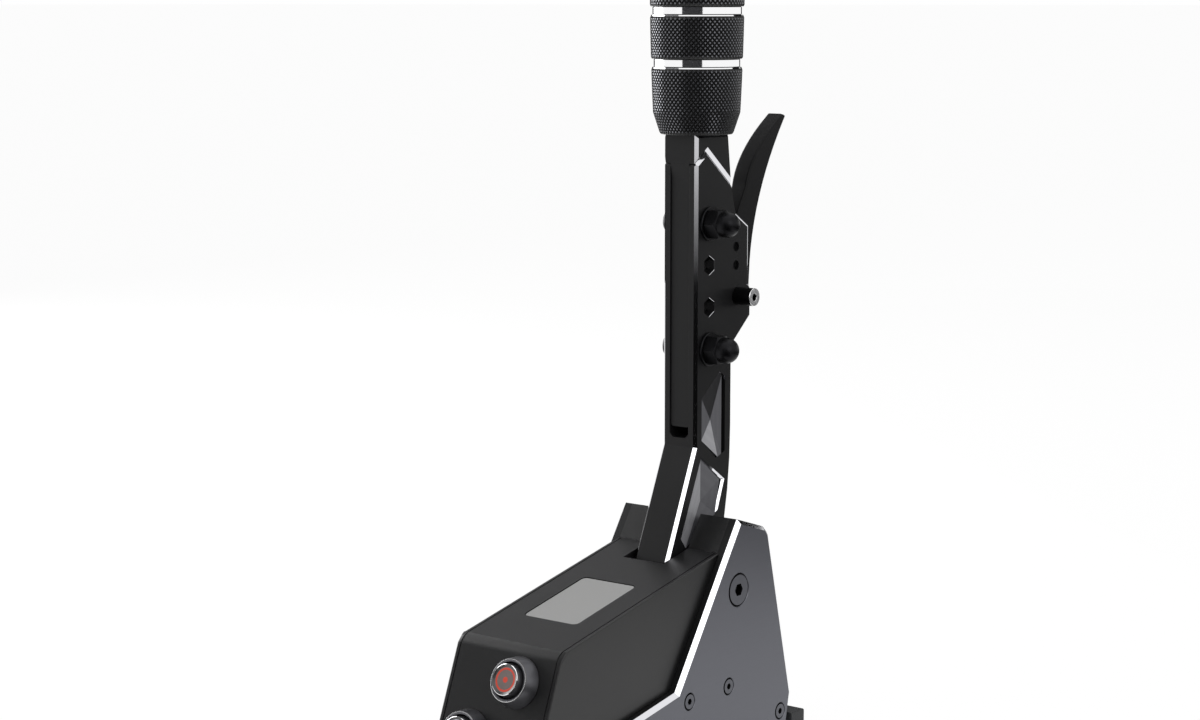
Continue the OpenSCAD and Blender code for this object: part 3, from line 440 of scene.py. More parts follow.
def round_edges(bm, width, steps, chosen, finish_index=0, clamp=True):
    """Rounds the sharp edges that the test picks, or bevels them with one step."""
    edges = [edge for edge in bm.edges if len(edge.link_faces) == 2
             and edge.calc_face_angle(0) > SHARP and chosen(*[vert.co for vert in edge.verts])]
    if not edges:
        raise RuntimeError("no edge to round")
    made = bmesh.ops.bevel(bm, geom=edges, offset=width, offset_type="OFFSET", segments=steps, profile=0.5,
                           affect="EDGES", clamp_overlap=clamp)
    for face in made["faces"]:
        face.material_index = finish_index


def near(value, target):
    """Whether a coordinate lies at a place."""
    return abs(value - target) < SLACK


def piece(name, bm, body, makers, nodes, smooth=SMOOTH):
    """Turns a mesh into a piece that rides on a body and stands for CAD nodes."""
    bmesh.ops.recalc_face_normals(bm, faces=bm.faces)
    if bm.calc_volume(signed=True) < 0:
        bmesh.ops.reverse_faces(bm, faces=bm.faces)
    mesh = bpy.data.meshes.new(name)
    bm.to_mesh(mesh)
    bm.free()
    for maker in makers:
        mesh.materials.append(finish(maker))
    mesh.shade_smooth()
    mesh.set_sharp_from_angle(angle=smooth)
    obj = bpy.data.objects.new(name, mesh)
    obj.modifiers.new("flat_faces", "WEIGHTED_NORMAL").keep_sharp = True
    bpy.context.scene.collection.objects.link(obj)
    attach(obj, body)
    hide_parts(*nodes)
    return obj


def dress(node, maker):
    """Gives a CAD node that stays its material."""
    mesh = frame["nodes"][node].data
    mesh.materials.clear()
    mesh.materials.append(finish(maker))


def ring(place, radius, height, sides):
    """Loop of points around place's Z; radius and height may depend on the angle."""
    points = []
    for i in range(sides):
        angle = 2 * math.pi * i / sides
        r = radius(angle) if callable(radius) else radius
        h = height(angle) if callable(height) else height
        points.append(place @ Vector((r * math.cos(angle), r * math.sin(angle), h)))
    return points


def hexagon(flat):
    """Radius of a hexagon with this half width across flats, by angle."""
    sixth = math.pi / 3
    return lambda angle: flat / math.cos((angle + sixth / 2) % sixth - sixth / 2)


def skin(bm, rings, finishes=None, closed=False):
    """Joins loops of points to one closed skin, with end faces or back to its start."""
    loops = [[bm.verts.new(point) for point in points] for points in rings]
    pairs = list(zip(loops, loops[1:] + loops[:1])) if closed else list(zip(loops, loops[1:]))
    for k, (a, b) in enumerate(pairs):
        for i in range(len(a)):
            j = (i + 1) % len(a)
            face = bm.faces.new((a[i], a[j], b[j], b[i]))
            face.material_index = finishes[k] if finishes else 0
    if not closed:
        bm.faces.new(loops[0]).material_index = finishes[0] if finishes else 0
        bm.faces.new(loops[-1]).material_index = finishes[-1] if finishes else 0


def turned(bm, place, profile, sides=64, finishes=None, closed=False):
    """Turns a profile of (radius, height) points about place's Z."""
    skin(bm, [ring(place, r, h, sides) for r, h in profile], finishes, closed)


def collar(bore, radius, height, chamfer):
    """Profile of a ring whose outer edges are broken."""
    return [(bore, 0), (radius - chamfer, 0), (radius, chamfer), (radius, height - chamfer),
            (radius - chamfer, height), (bore, height)]


def on_lever(y, z):
    """Y and Z of a place given in millimetres behind the grip axis and above the pivot."""
    return y * MM + GRIP_Y, z * MM + PIVOT_Z


def upright(y, z):
    """Frame with Z upwards on the middle plane."""
    return Matrix.Translation((0, y, z))


def across(x, y, z, side=1):
    """Frame with Z across the unit, to the right or to the left."""
    return Matrix.Translation((x, y, z)) @ Matrix.Rotation(side * math.pi / 2, 4, "Y")


def on_front(node):
    """Frame of a button: origin on the front face under the cap, Z outwards."""
    low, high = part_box(node)
    outward = Vector((0, -math.cos(math.radians(FRONT_LEAN)), math.sin(math.radians(FRONT_LEAN))))
    origin = (low + high) / 2 - outward * CAP_MIDDLE
    return Matrix.Translation(origin) @ Matrix.Rotation(math.radians(90 - FRONT_LEAN), 4, "X")


class LEVER_UNIT_OT_stage(bpy.types.Operator):
    """Adds the floor, the studio light and the camera"""

    bl_idname = "lever_unit.stage"
    bl_label = "Stage"

    camera_place: FloatVectorProperty(name="Camera", description="Place of the camera", subtype="XYZ",
                                      unit="LENGTH", default=(0.54629, -0.70429, 0.27024))
    camera_turn: FloatProperty(name="Turn", description="Turn of the camera about the vertical",
                               subtype="ANGLE", default=math.radians(38.308))
    camera_dip: FloatProperty(name="Dip", description="Downward tilt of the camera",
                              subtype="ANGLE", default=math.radians(7.984))
    camera_lens: FloatProperty(name="Lens", description="Focal length in millimetres on a 36 mm frame",
                               default=76.64)

    # Dark sheets that show only in reflections: place and size in metres, turn in degrees, and colour
    flag_sheets = {
        "front_flag": ((0.8, -1.79, 0.45), (2.0, 1.1), (90, 0, 23.5), "#38383a"),
        "floor_flag": ((1.86, -2.01, 0.002), (2.4, 4.5), (0, 0, 45), "#0c0c0c"),
        "near_flag": ((0.16, -0.24, 0.001), (0.5, 0.36), (0, 0, 45), "#0c0c0c"),
        "side_flag": ((1.0, 1.235, 0.002), (2.6, 2.5), (0, 0, -39), "#424244"),
        "back_flag": ((0.395, 1.86, 1.12), (1.4, 0.96), (90, 0, 168), "#0c0c0c"),
        "edge_flag": ((-0.95, 1.2, 0.25), (1.6, 0.5), (90, 0, 38.3), "#0c0c0c"),
        "high_flag": ((-1.2, 1.3, 1.15), (2.2, 1.6), (60, 0, 42), "#9a9a9c"),
        "left_flag": ((-1.15, -1.3, 1.1), (1.5, 1.6), (90, 0, -41.5), "#7c7c7e"),
        "upper_flag": ((-1.26, -0.19, 1.63), (1.2, 1.9), (0, -39, 0), "#7c7c7e"),
    }
    # The one sheet that pales to white along its length, and the shares of it where that begins and ends
    fading_flag, fade_begin, fade_end = "floor_flag", 0.77, 0.32
    # Soft lamps: place and size in metres, and power in watts
    soft_panels = {
        "key_panel": ((1.25, -0.55, 0.75), (0.9, 0.7), 2.5),
        "top_panel": ((0.1, 0.1, 1.5), (1.2, 1.2), 3.0),
        "left_panel": ((-1.3, 0.0, 0.45), (1.2, 1.4), 20.0),
    }
    # Point that the lamps face
    aim = Vector((0, GRIP_Y * 0.5, 0.15))
    # Light that the white world gives the unit, and the share of the floor that shows as plain white
    world_light, floor_white = 0.7, 0.9
    # Floor: its size in metres and how far it lies below the unit
    floor_size, floor_drop = 400, 0.5 * MM

    def execute(self, context):
        scene = context.scene
        scene.view_settings.view_transform = "Standard"
        self.add_camera(scene)
        self.add_world(scene)
        self.add_floor(scene)
        for name, values in self.flag_sheets.items():
            self.add_flag(name, scene, *values)
        for name, values in self.soft_panels.items():
            self.add_panel(name, scene, *values)
        return {"FINISHED"}

    def add_camera(self, scene):
        data = bpy.data.cameras.new("camera")
        data.lens = self.camera_lens
        data.sensor_width = 36
        data.clip_start = 0.01
        camera = bpy.data.objects.new("camera", data)
        camera.location = self.camera_place
        camera.rotation_euler = (math.pi / 2 - self.camera_dip, 0, self.camera_turn)
        scene.collection.objects.link(camera)
        scene.camera = camera

    def background(self, tree):
        """Output that is 1 for rays that show the background, by camera, mirror or glass."""
        path = add(tree, "ShaderNodeLightPath")
        seen = path.outputs["Is Camera Ray"]
        for kind in ("Is Glossy Ray", "Is Transmission Ray"):
            either = add(tree, "ShaderNodeMath", {0: seen, 1: path.outputs[kind]}, operation="MAXIMUM")
            seen = either.outputs["Value"]
        return seen

    def add_world(self, scene):
        world = bpy.data.worlds.new("studio")
        world.use_nodes = True
        tree = world.node_tree
        strength = add(tree, "ShaderNodeMapRange",
                       {"Value": self.background(tree), "To Min": self.world_light, "To Max": 1.0})
        shader = tree.nodes["Background"]
        shader.inputs["Color"].default_value = (1, 1, 1, 1)
        tree.links.new(strength.outputs["Result"], shader.inputs["Strength"])
        scene.world = world

    def add_floor(self, scene):
        # Painted board, rolled matte white: shows white and keeps a faint shadow
        material, tree, shader = start("board_painted_white", linear("#fcfcfc"), 0.8)
        share = add(tree, "ShaderNodeMath", {0: self.background(tree), 1: self.floor_white},
                    operation="MULTIPLY")
        white = add(tree, "ShaderNodeEmission", {"Color": (1, 1, 1, 1), "Strength": 1.0})
        mix = add(tree, "ShaderNodeMixShader", {0: share.outputs[0], 1: shader.outputs["BSDF"],
                                                2: white.outputs["Emission"]})
        tree.links.new(mix.outputs["Shader"], tree.nodes["Material Output"].inputs["Surface"])
        size = (self.floor_size, self.floor_size)
        self.add_sheet("floor", scene, (0, 0, -self.floor_drop), size, (0, 0, 0), material)

    def add_flag(self, name, scene, place, size, turn, code):
        # Dark velvet on a frame: takes the light out of one side of the reflections
        material, tree, shader = start(name + "_velvet", linear(code), 0.9, 0.0, 0.1)
        if name == self.fading_flag:
            self.fade(tree, shader, linear(code)[0])
        flag = self.add_sheet(name, scene, place, size, turn, material)
        flag.visible_camera = False
        flag.visible_diffuse = False
        flag.visible_shadow = False

    def fade(self, tree, shader, dark):
        """Takes the sheen off a sheet and lets it pale to white along its length."""
        shader.inputs["Specular IOR Level"].default_value = 0
        place = add(tree, "ShaderNodeTexCoord").outputs["Generated"]
        along = add(tree, "ShaderNodeSeparateXYZ", {"Vector": place})
        paler = add(tree, "ShaderNodeMapRange", {"Value": along.outputs["Y"], "From Min": self.fade_begin,
                                                 "From Max": self.fade_end, "To Min": dark, "To Max": 1.0})
        tree.links.new(paler.outputs["Result"], shader.inputs["Base Color"])

    def add_sheet(self, name, scene, place, size, turn, material):
        bm = bmesh.new()
        bmesh.ops.create_grid(bm, x_segments=1, y_segments=1, size=0.5,
                              matrix=Matrix.Diagonal((size[0], size[1], 1, 1)))
        mesh = bpy.data.meshes.new(name)
        bm.to_mesh(mesh)
        bm.free()
        mesh.materials.append(material)
        obj = bpy.data.objects.new(name, mesh)
        obj.location = place
        obj.rotation_euler = [math.radians(angle) for angle in turn]
        scene.collection.objects.link(obj)
        return obj

    def add_panel(self, name, scene, place, size, power):
        data = bpy.data.lights.new(name, "AREA")
        data.shape = "RECTANGLE"
        data.size, data.size_y = size
        data.energy = power
        panel = bpy.data.objects.new(name, data)
        panel.location = place
        panel.rotation_euler = (self.aim - panel.location).to_track_quat("-Z", "Y").to_euler()
        scene.collection.objects.link(panel)


class LEVER_UNIT_OT_lever(bpy.types.Operator):
    """Cuts the lever body and the stem with bright chamfers"""

    bl_idname = "lever_unit.lever"
    bl_label = "Lever body and stem"

    # Places in millimetres behind the grip axis and above the pivot: rims of the pockets that are cut bright
    bright_rims = (((8.3, 73.5), (4.6, 76.2)), ((2.8, 44.5), (8.3, 46.5)),
                   ((2.6, 23.6), (7.2, 35.8)), ((7.2, 35.8), (-6.6, 45.2)))
    # Spare clamp holes: their middles and the reach of their rims
    spare_y, spare_zs, spare_r = -2.0, (115.8, 100.6), 3.6
    # Ear behind the upper bolt: its root, its back, and its lower and upper heights
    ear_root, ear_back, ear_low, ear_top = 13.0, 22.1, 128.0, 134.5
    # Widths of the broken edge at the seam and of the bright cuts
    seam_break, rim_cut, ear_cut, fine_cut = 0.7 * MM, 0.75 * MM, 1.1 * MM, 0.3 * MM
    # Front groove and the tongue in it: half widths, radii of the lower corners, room below the tongue
    groove_half, tongue_half = 4.2 * MM, 4.1 * MM
    groove_corner, tongue_corner = 1.5 * MM, 1.2 * MM
    groove_room = 4 * MM
    # How far the tongue lies back in its groove, and the height of the slope that leads there
    tongue_back, tongue_slope = 0.6 * MM, 5 * MM
    # Top of the stem that stays black inside the grip
    black_top = 2 * MM
    # Front of lever and stem, foot of the stem, and height of the seam between the two
    front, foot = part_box("grip_stem")[0].yz
    seam = PIVOT_Z + 152.6 * MM
    # Finishes, and the place of the bright one among them
    finishes, bright = (anodised_black, bright_cut), 1

    def execute(self, context):
        self.break_edge = context.scene.lever_unit_sizes.groove_break
        self.cut_lever()
        self.cut_stem()
        return {"FINISHED"}

    def brighten(self, bm):
        """Picks out the chamfers around the side faces."""
        for face in bm.faces:
            if BRIGHT_FACET[0] < abs(face.normal.x) < BRIGHT_FACET[1]:
                face.material_index = self.bright

    def soften_groove(self, bm, half, end_z, corner, front):
        """Rounds the lower corners of the front groove or tongue and breaks its long edges."""
        def along(a, b):
            return near(a.x, b.x) and near(abs(a.x), half)

        round_edges(bm, corner, 8, lambda a, b: along(a, b) and near(a.z, end_z) and near(b.z, end_z))
        round_edges(bm, self.break_edge, 2,
                    lambda a, b: along(a, b) and near(a.y, front) and near(b.y, front))

    def cut_lever(self):
        bm = cad_copy("lever_body")
        self.brighten(bm)
        rims = [[on_lever(y, z) for y, z in pair] for pair in self.bright_rims]

        def on_side(a, b):
            return near(abs(a.x), LEVER_HALF) and near(b.x, a.x)

        def is_seam(a, b):
            return all(near(end.z, self.seam) and near(end.y, self.front) for end in (a, b))

        def is_rim(a, b):
            return on_side(a, b) and any(all(any(near(end.y, y) and near(end.z, z) for end in (a, b))
                                             for y, z in pair) for pair in rims)

        def is_spare(a, b):
            far = [math.hypot(a.y - GRIP_Y - self.spare_y * MM, a.z - PIVOT_Z - z * MM)
                   for z in self.spare_zs]
            return on_side(a, b) and min(far) < self.spare_r * MM

        def is_ear(a, b):
            return on_side(a, b) and all(end.y > GRIP_Y + self.ear_root * MM
                                         and self.ear_low * MM < end.z - PIVOT_Z < self.ear_top * MM
                                         for end in (a, b))

        def is_ear_back(a, b):
            return on_side(a, b) and all(near(end.y, GRIP_Y + self.ear_back * MM) for end in (a, b))

        round_edges(bm, self.seam_break, 1, is_seam)
        for width, chosen in ((self.fine_cut, is_ear_back), (self.ear_cut, is_ear),
                              (self.rim_cut, is_rim), (self.fine_cut, is_spare)):
            round_edges(bm, width, 1, chosen, self.bright)
        low_end = self.foot - self.groove_room
        self.soften_groove(bm, self.groove_half, low_end, self.groove_corner, self.front)
        piece("lever_body_cut", bm, "lever", self.finishes, ("lever_body",), CRISP)

    def cut_stem(self):
        bm = cad_copy("grip_stem")
        self.brighten(bm)
        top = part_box("grip_stem")[1].z
        for face in bm.faces:
            if all(vert.co.z > top - self.black_top for vert in face.verts):
                face.material_index = 0
        self.set_back(bm)
        front = self.front + self.tongue_back
        self.soften_groove(bm, self.tongue_half, self.foot, self.tongue_corner, front)
        piece("grip_stem_cut", bm, "lever", self.finishes, ("grip_stem",), CRISP)

    def set_back(self, bm):
        """Sets the front of the tongue back in its groove, with a slope under the seam."""
        for height in (self.seam, self.seam - self.tongue_slope):
            bmesh.ops.bisect_plane(bm, geom=bm.verts[:] + bm.edges[:] + bm.faces[:],
                                   plane_co=(0, 0, height), plane_no=(0, 0, 1))
        for vert in bm.verts:
            if near(vert.co.y, self.front) and vert.co.z < self.seam - 0.5 * self.tongue_slope:
                vert.co.y += self.tongue_back


class LEVER_UNIT_OT_inserts(bpy.types.Operator):
    """Sets the faceted inserts into the pockets of the lever"""

    bl_idname = "lever_unit.inserts"
    bl_label = "Faceted inserts"

    # Rims and deepest points in millimetres behind the grip axis and above the pivot, and each facet's tone
    # among middle grey, painted highlight and painted shade
    forms = {
        "upper_inserts": (((-6.1, 52.1), (4.0, 44.9), (6.2, 45.8), (6.2, 74.8), (4.6, 76.0), (-6.1, 67.4)),
                          (1.3, 58.8), (1, 0, 0, 2, 2, 0)),
        "lower_inserts": (((-15.4, 13.8), (2.5, 23.7), (5.2, 36.3), (-6.6, 45.0), (-18.4, 17.7)),
                          (-4.6, 29.5), (0, 0, 0, 1, 1)),
    }
    # Depths of the seat, the rim and the deepest point below the lever's side
    seat_depth, rim_depth, deep = 2 * MM, 0.15 * MM, 1.65 * MM
    # Angle from which the facets meet in a sharp edge
    facet_edge = math.radians(5)

    def execute(self, context):
        for node, (rim, apex, tones) in self.forms.items():
            bm = bmesh.new()
            for side in (1, -1):
                self.add_insert(bm, side, rim, apex, tones)
            piece(node + "_facets", bm, "lever", (insert_grey, insert_painted_highlight, insert_painted_shade),
                  (node,), self.facet_edge)
        return {"FINISHED"}

    def add_insert(self, bm, side, rim, apex, tones):
        place = [on_lever(y, z) for y, z in rim]
        back = [bm.verts.new((side * (LEVER_HALF - self.seat_depth), y, z)) for y, z in place]
        front = [bm.verts.new((side * (LEVER_HALF - self.rim_depth), y, z)) for y, z in place]
        middle = bm.verts.new((side * (LEVER_HALF - self.deep), *on_lever(*apex)))
        bm.faces.new(back)
        for i, tone in enumerate(tones):
            j = (i + 1) % len(rim)
            bm.faces.new((back[i], back[j], front[j], front[i]))
            # The facet's tone picks the middle grey, the painted highlight or the painted shade
            bm.faces.new((front[i], front[j], middle)).material_index = tone


class LEVER_UNIT_OT_fasteners(bpy.types.Operator):
    """Turns the clamp bolts, washers, acorn nuts and the trigger pin"""

    bl_idname = "lever_unit.fasteners"
    bl_label = "Clamp fasteners and trigger pin"

    # Bolts: radius and end chamfer; radius and height of the head, shares of its wall and its flat top
    bolt_r, bolt_chamfer = 3.0 * MM, 0.35 * MM
    head_r, head_h, head_wall, head_top = 5.2 * MM, 3.3 * MM, 0.15, 0.62
    # Hexagon socket: half its width and its depth
    socket, socket_deep = 2.0 * MM, 2.0 * MM
    # Washers: radius, thickness, chamfer and play around the bolt
    washer_r, washer_t, washer_chamfer, washer_play = 6.2 * MM, 1.2 * MM, 0.25 * MM, 0.1 * MM
    # Acorn nuts: half width, height, slope of the corners and hollow; radius, wall and foot of the dome
    nut_flat, nut_h, nut_slope, nut_hollow = 4.94 * MM, 5.0 * MM, math.tan(math.radians(30)), 0.2 * MM
    dome_r, dome_wall, dome_foot = 4.7 * MM, 1.6 * MM, 0.1 * MM
    # Trigger pin: radius of its bore, chamfer, and the finishes along its profile
    pin_bore, pin_chamfer, pin_finishes = 1.35 * MM, 0.12 * MM, (1, 1, 0, 1, 1, 1, 0)
    # Points around bolts, nuts and pin, and steps of the rounding of the heads and domes
    sides, head_steps, dome_steps = 48, 6, 10

    def execute(self, context):
        low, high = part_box("clamp_washers")
        y = (low.y + high.y) / 2
        bolts, washers, nuts = bmesh.new(), bmesh.new(), bmesh.new()
        for z in (low.z + self.washer_r, high.z - self.washer_r):
            self.add_bolt(bolts, across(-LEVER_HALF, y, z, -1))
            self.add_washer(washers, across(LEVER_HALF, y, z))
            self.add_nut(nuts, across(LEVER_HALF + self.washer_t, y, z))
        for node, bm in (("clamp_bolts", bolts), ("clamp_washers", washers), ("acorn_nuts", nuts)):
            piece(node + "_turned", bm, "lever", (black_steel,), (node,))
        self.add_pin()
        return {"FINISHED"}

    def add_bolt(self, bm, place):
        shank = 2 * LEVER_HALF + self.washer_t + self.nut_h
        r, c = self.bolt_r, self.bolt_chamfer
        head_r, top_r = self.head_r, self.head_r * self.head_top
        profile = [(r - c, -shank), (r, c - shank), (r, 0), (head_r, 0),
                   (head_r, self.head_wall * self.head_h)]
        for i in range(1, self.head_steps + 1):
            a = math.radians(90 * i / self.head_steps)
            share = self.head_wall + (1 - self.head_wall) * math.sin(a)
            profile.append((top_r + (head_r - top_r) * math.cos(a), self.head_h * share))
        profile += [(hexagon(self.socket), self.head_h - deep) for deep in (0, self.socket_deep)]
        turned(bm, place, profile, self.sides)

    def add_washer(self, bm, place):
        bore = self.bolt_r + self.washer_play
        turned(bm, place, collar(bore, self.washer_r, self.washer_t, self.washer_chamfer), closed=True)

    def add_nut(self, bm, place):
        flat, top, dome = self.nut_flat, self.nut_h, self.dome_r
        wide = hexagon(flat)
        rise = top + self.dome_wall

        def drop(angle):
            return self.nut_slope * (wide(angle) - flat)

        profile = [(self.bolt_r, self.nut_hollow), (flat, 0), (wide, drop),
                   (wide, lambda angle: top - drop(angle)), (flat, top), (dome, top + self.dome_foot),
                   (dome, rise)]
        # The last step ends one degree before the tip, with a tiny flat
        for i in range(1, self.dome_steps + 1):
            a = math.radians(90 * i / self.dome_steps - 1)
            profile.append((dome * math.cos(a), rise + dome * math.sin(a)))
        turned(bm, place, profile, self.sides)

    def add_pin(self):
        low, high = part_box("trigger_pin")
        r, reach = (high.z - low.z) / 2, high.x - low.x
        bore, c = self.pin_bore, self.pin_chamfer
        profile = [(bore, 0), (r - c, 0), (r, c), (r, reach - c), (r - c, reach), (bore + c / 2, reach),
                   (bore, reach - c / 2)]
        bm = bmesh.new()
        place = across(low.x, (low.y + high.y) / 2, (low.z + high.z) / 2)
        turned(bm, place, profile, self.sides, self.pin_finishes, closed=True)
        piece("trigger_pin_hollow", bm, "lever", (black_steel, bright_steel),
              ("trigger_pin",))


class LEVER_UNIT_OT_grip(bpy.types.Operator):
    """Knurls the sleeves of the grip and turns its rings and cap"""

    bl_idname = "lever_unit.grip"
    bl_label = "Grip"

    # Steps from a diamond to its four neighbours
    around = ((1, 0), (0, 1), (-1, 0), (0, -1))
    # Places of the bright edge and of the grooves, with their painted shade, among a sleeve's finishes
    bright, groove = 1, 2
    # Share of the knurl's depth at a sleeve's ends, and shares of its edge at the rim and the foot
    end_share, rim_share, foot_share = 0.4, 0.4, 0.3
    # Rings: height, step behind the sleeves and chamfer
    ring_h, ring_step, ring_chamfer = 3 * MM, 0.9 * MM, 0.3 * MM
    # Cap: radius and length of its stud, chamfer of its rim, and the share of its rise that is rounded
    stud_r, stud_l, cap_chamfer, cap_bend = 3.5 * MM, 11 * MM, 0.3 * MM, 0.6
    # Dimple in the cap: radii of its rim and floor, and its depth
    dimple_r, dimple_floor, dimple_deep = 4 * MM, 3.6 * MM, 0.4 * MM
    # Points around rings and cap, and steps of the cap's rounding
    ring_sides, cap_sides, cap_steps = 160, 128, 12
    # Lower end of the grip
    foot_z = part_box("grip_foot_sleeve")[0].z

    def execute(self, context):
        sizes = context.scene.lever_unit_sizes
        for node in ["grip_foot_sleeve"] + ["grip_sleeve_%d" % i for i in range(1, 5)]:
            self.add_sleeve(node, sizes)
        self.add_rings()
        self.add_cap()
        return {"FINISHED"}

    def radius(self, z):
        """Outer radius of the grip at a height, with the cone at its foot."""
        def barrel(height):
            return (GRIP_R - GRIP_CURVE * (height / MM - GRIP_MID_Z) ** 2) * MM

        cone_top = self.foot_z + GRIP_CONE_H * MM
        if z >= cone_top:
            return barrel(z)
        share = max(0.0, (z - self.foot_z) / (cone_top - self.foot_z))
        return GRIP_FOOT_R * MM + share * (barrel(cone_top) - GRIP_FOOT_R * MM)

    def add_sleeve(self, node, sizes):
        """One sleeve: diamonds with a flat land on each, plain end rows and a bright upper edge."""
        low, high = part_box(node)
        edge, depth, land = sizes.sleeve_edge, sizes.knurl_depth, sizes.knurl_land
        sides = 2 * sizes.knurl_count
        z0, z1 = low.z + self.foot_share * edge, high.z - edge
        rows = 2 * round((z1 - z0) / sizes.knurl_pitch)
        end_sunk = self.end_share * depth
        bm = bmesh.new()

        def point(i, j, sunk):
            angle, z = 2 * math.pi * i / sides, z0 + (z1 - z0) * j / rows
            r = self.radius(z) - sunk
            return bm.verts.new((r * math.cos(angle), GRIP_Y + r * math.sin(angle), z))

        def plain(radius, z):
            return [bm.verts.new(place) for place in ring(upright(GRIP_Y, z), radius, 0, sides)]

        corners, grooves = {}, {}
        for j in range(rows + 1):
            for i in range(sides):
                if j in (0, rows):
                    grooves[i, j] = point(i, j, end_sunk)
                elif (i + j) % 2:
                    corners[i, j] = [point(i + land * di, j + land * dj, 0) for di, dj in self.around]
                    bm.faces.new(corners[i, j])
                else:
                    grooves[i, j] = point(i, j, depth)
        # The sloping groove faces take the painted shade
        for (i, j), tip in corners.items():
            ends = [grooves[(i + di) % sides, j + dj] for di, dj in self.around]
            for k in range(4):
                bm.faces.new((tip[k], tip[k - 1], ends[k - 1], ends[k])).material_index = self.groove
        for j, inner in ((0, 1), (rows, rows - 1)):
            for i in range(sides):
                if (i + j) % 2:
                    three = [grooves[k % sides, j] for k in (i - 1, i, i + 1)]
                    for pair in (three[:2], three[1:]):
                        bm.faces.new(pair + [grooves[i, inner]]).material_index = self.groove
        rim = self.radius(z1) - end_sunk - self.rim_share * edge
        foot = self.radius(z0) - end_sunk - self.foot_share * edge
        bore = CORE_R * MM
        loops = [[grooves[i, rows] for i in range(sides)], plain(rim, high.z), plain(bore, high.z),
                 plain(bore, low.z), plain(foot, low.z), [grooves[i, 0] for i in range(sides)]]
        for k, (a, b) in enumerate(zip(loops, loops[1:])):
            for i in range(sides):
                n = (i + 1) % sides
                bm.faces.new((a[i], a[n], b[n], b[i])).material_index = self.groove if k else self.bright
        piece(node + "_knurled", bm, "lever", (knurled_black, bright_ring, knurl_groove_painted_shade),
              (node,), CRISP)

    def add_rings(self):
        bm = bmesh.new()
        for i in range(1, 5):
            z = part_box("grip_sleeve_%d" % i)[0].z - self.ring_h
            profile = collar(CORE_R * MM, self.radius(z) - self.ring_step, self.ring_h, self.ring_chamfer)
            turned(bm, upright(GRIP_Y, z), profile, self.ring_sides, closed=True)
        piece("grip_rings_polished", bm, "lever", (bright_ring,), ("grip_rings",))

    def add_cap(self):
        low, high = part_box("grip_cap")
        rim_z, rim_r = low.z + self.stud_l, (high.x - low.x) / 2
        c, bend = self.cap_chamfer, self.cap_bend * (high.z - rim_z)
        profile = [(self.stud_r, low.z), (self.stud_r, rim_z), (rim_r - c, rim_z), (rim_r, rim_z + c)]
        for i in range(self.cap_steps + 1):
            a = math.radians(90 * i / self.cap_steps)
            profile.append((rim_r - bend * (1 - math.cos(a)), high.z - bend * (1 - math.sin(a))))
        profile += [(self.dimple_r, high.z), (self.dimple_floor, high.z - self.dimple_deep)]
        bm = bmesh.new()
        turned(bm, upright(GRIP_Y, 0), profile, self.cap_sides)
        piece("grip_cap_turned", bm, "lever", (anodised_black,), ("grip_cap",))


class LEVER_UNIT_OT_trigger(bpy.types.Operator):
    """Rounds the trigger"""

    bl_idname = "lever_unit.trigger"
    bl_label = "Trigger"

    # Height above the trigger pin up to which the edges stay plain
    plain_root = 2 * MM

    def execute(self, context):
        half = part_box("trigger")[1].x
        low_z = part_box("trigger_pin")[1].z + self.plain_root

        def on_outline(a, b):
            return near(abs(a.x), half) and near(a.x, b.x) and min(a.z, b.z) > low_z

        bm = cad_copy("trigger")
        round_edges(bm, context.scene.lever_unit_sizes.trigger_round, 4, on_outline, clamp=False)
        piece("trigger_rounded", bm, "trigger", (trigger_black,), ("trigger",))
        return {"FINISHED"}


class LEVER_UNIT_OT_springs(bpy.types.Operator):
    """Winds the three springs"""

    bl_idname = "lever_unit.springs"
    bl_label = "Springs"

    # Body, joint, turns, wire radius and travel in millimetres, and whether the front end stays in place
    coils = {
        "trigger_spring": ("lever", "trigger_hinge", 6, 0.4, 4.4, True),
        "pull_spring": ("base", "rod_slide", 6, 0.9, 7.85, False),
        "push_spring": ("base", "rod_slide", 4, 0.9, 7.85, True),
    }
    # Points along one turn and around the wire
    steps, sides = 28, 10

    def execute(self, context):
        for node, (body, joint, turns, wire, travel, front_held) in self.coils.items():
            low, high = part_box(node)
            z = (low.z + high.z) / 2
            bm = self.wind(low.y, high.y, z, (high.x - low.x) / 2, wire * MM, turns)
            obj = piece(node + "_wound", bm, body, (spring_steel,), (node,))
            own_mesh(obj)
        return {"FINISHED"}

    def wind(self, y0, y1, z, outer_r, wire_r, turns):
        """Wire of a spring between two places along Y."""
        bm = bmesh.new()
        count = turns * self.steps
        along = Vector((0, 1, 0))
        around = [2 * math.pi * k / self.sides for k in range(self.sides)]
        rings = []
        for i in range(count + 1):
            angle = 2 * math.pi * i / self.steps
            out = Vector((math.cos(angle), 0, math.sin(angle)))
            y = y0 + wire_r + (y1 - y0 - 2 * wire_r) * i / count
            middle = out * (outer_r - wire_r) + Vector((0, y, z))
            rings.append([middle + (out * math.cos(a) + along * math.sin(a)) * wire_r for a in around])
        skin(bm, rings)
        return bm


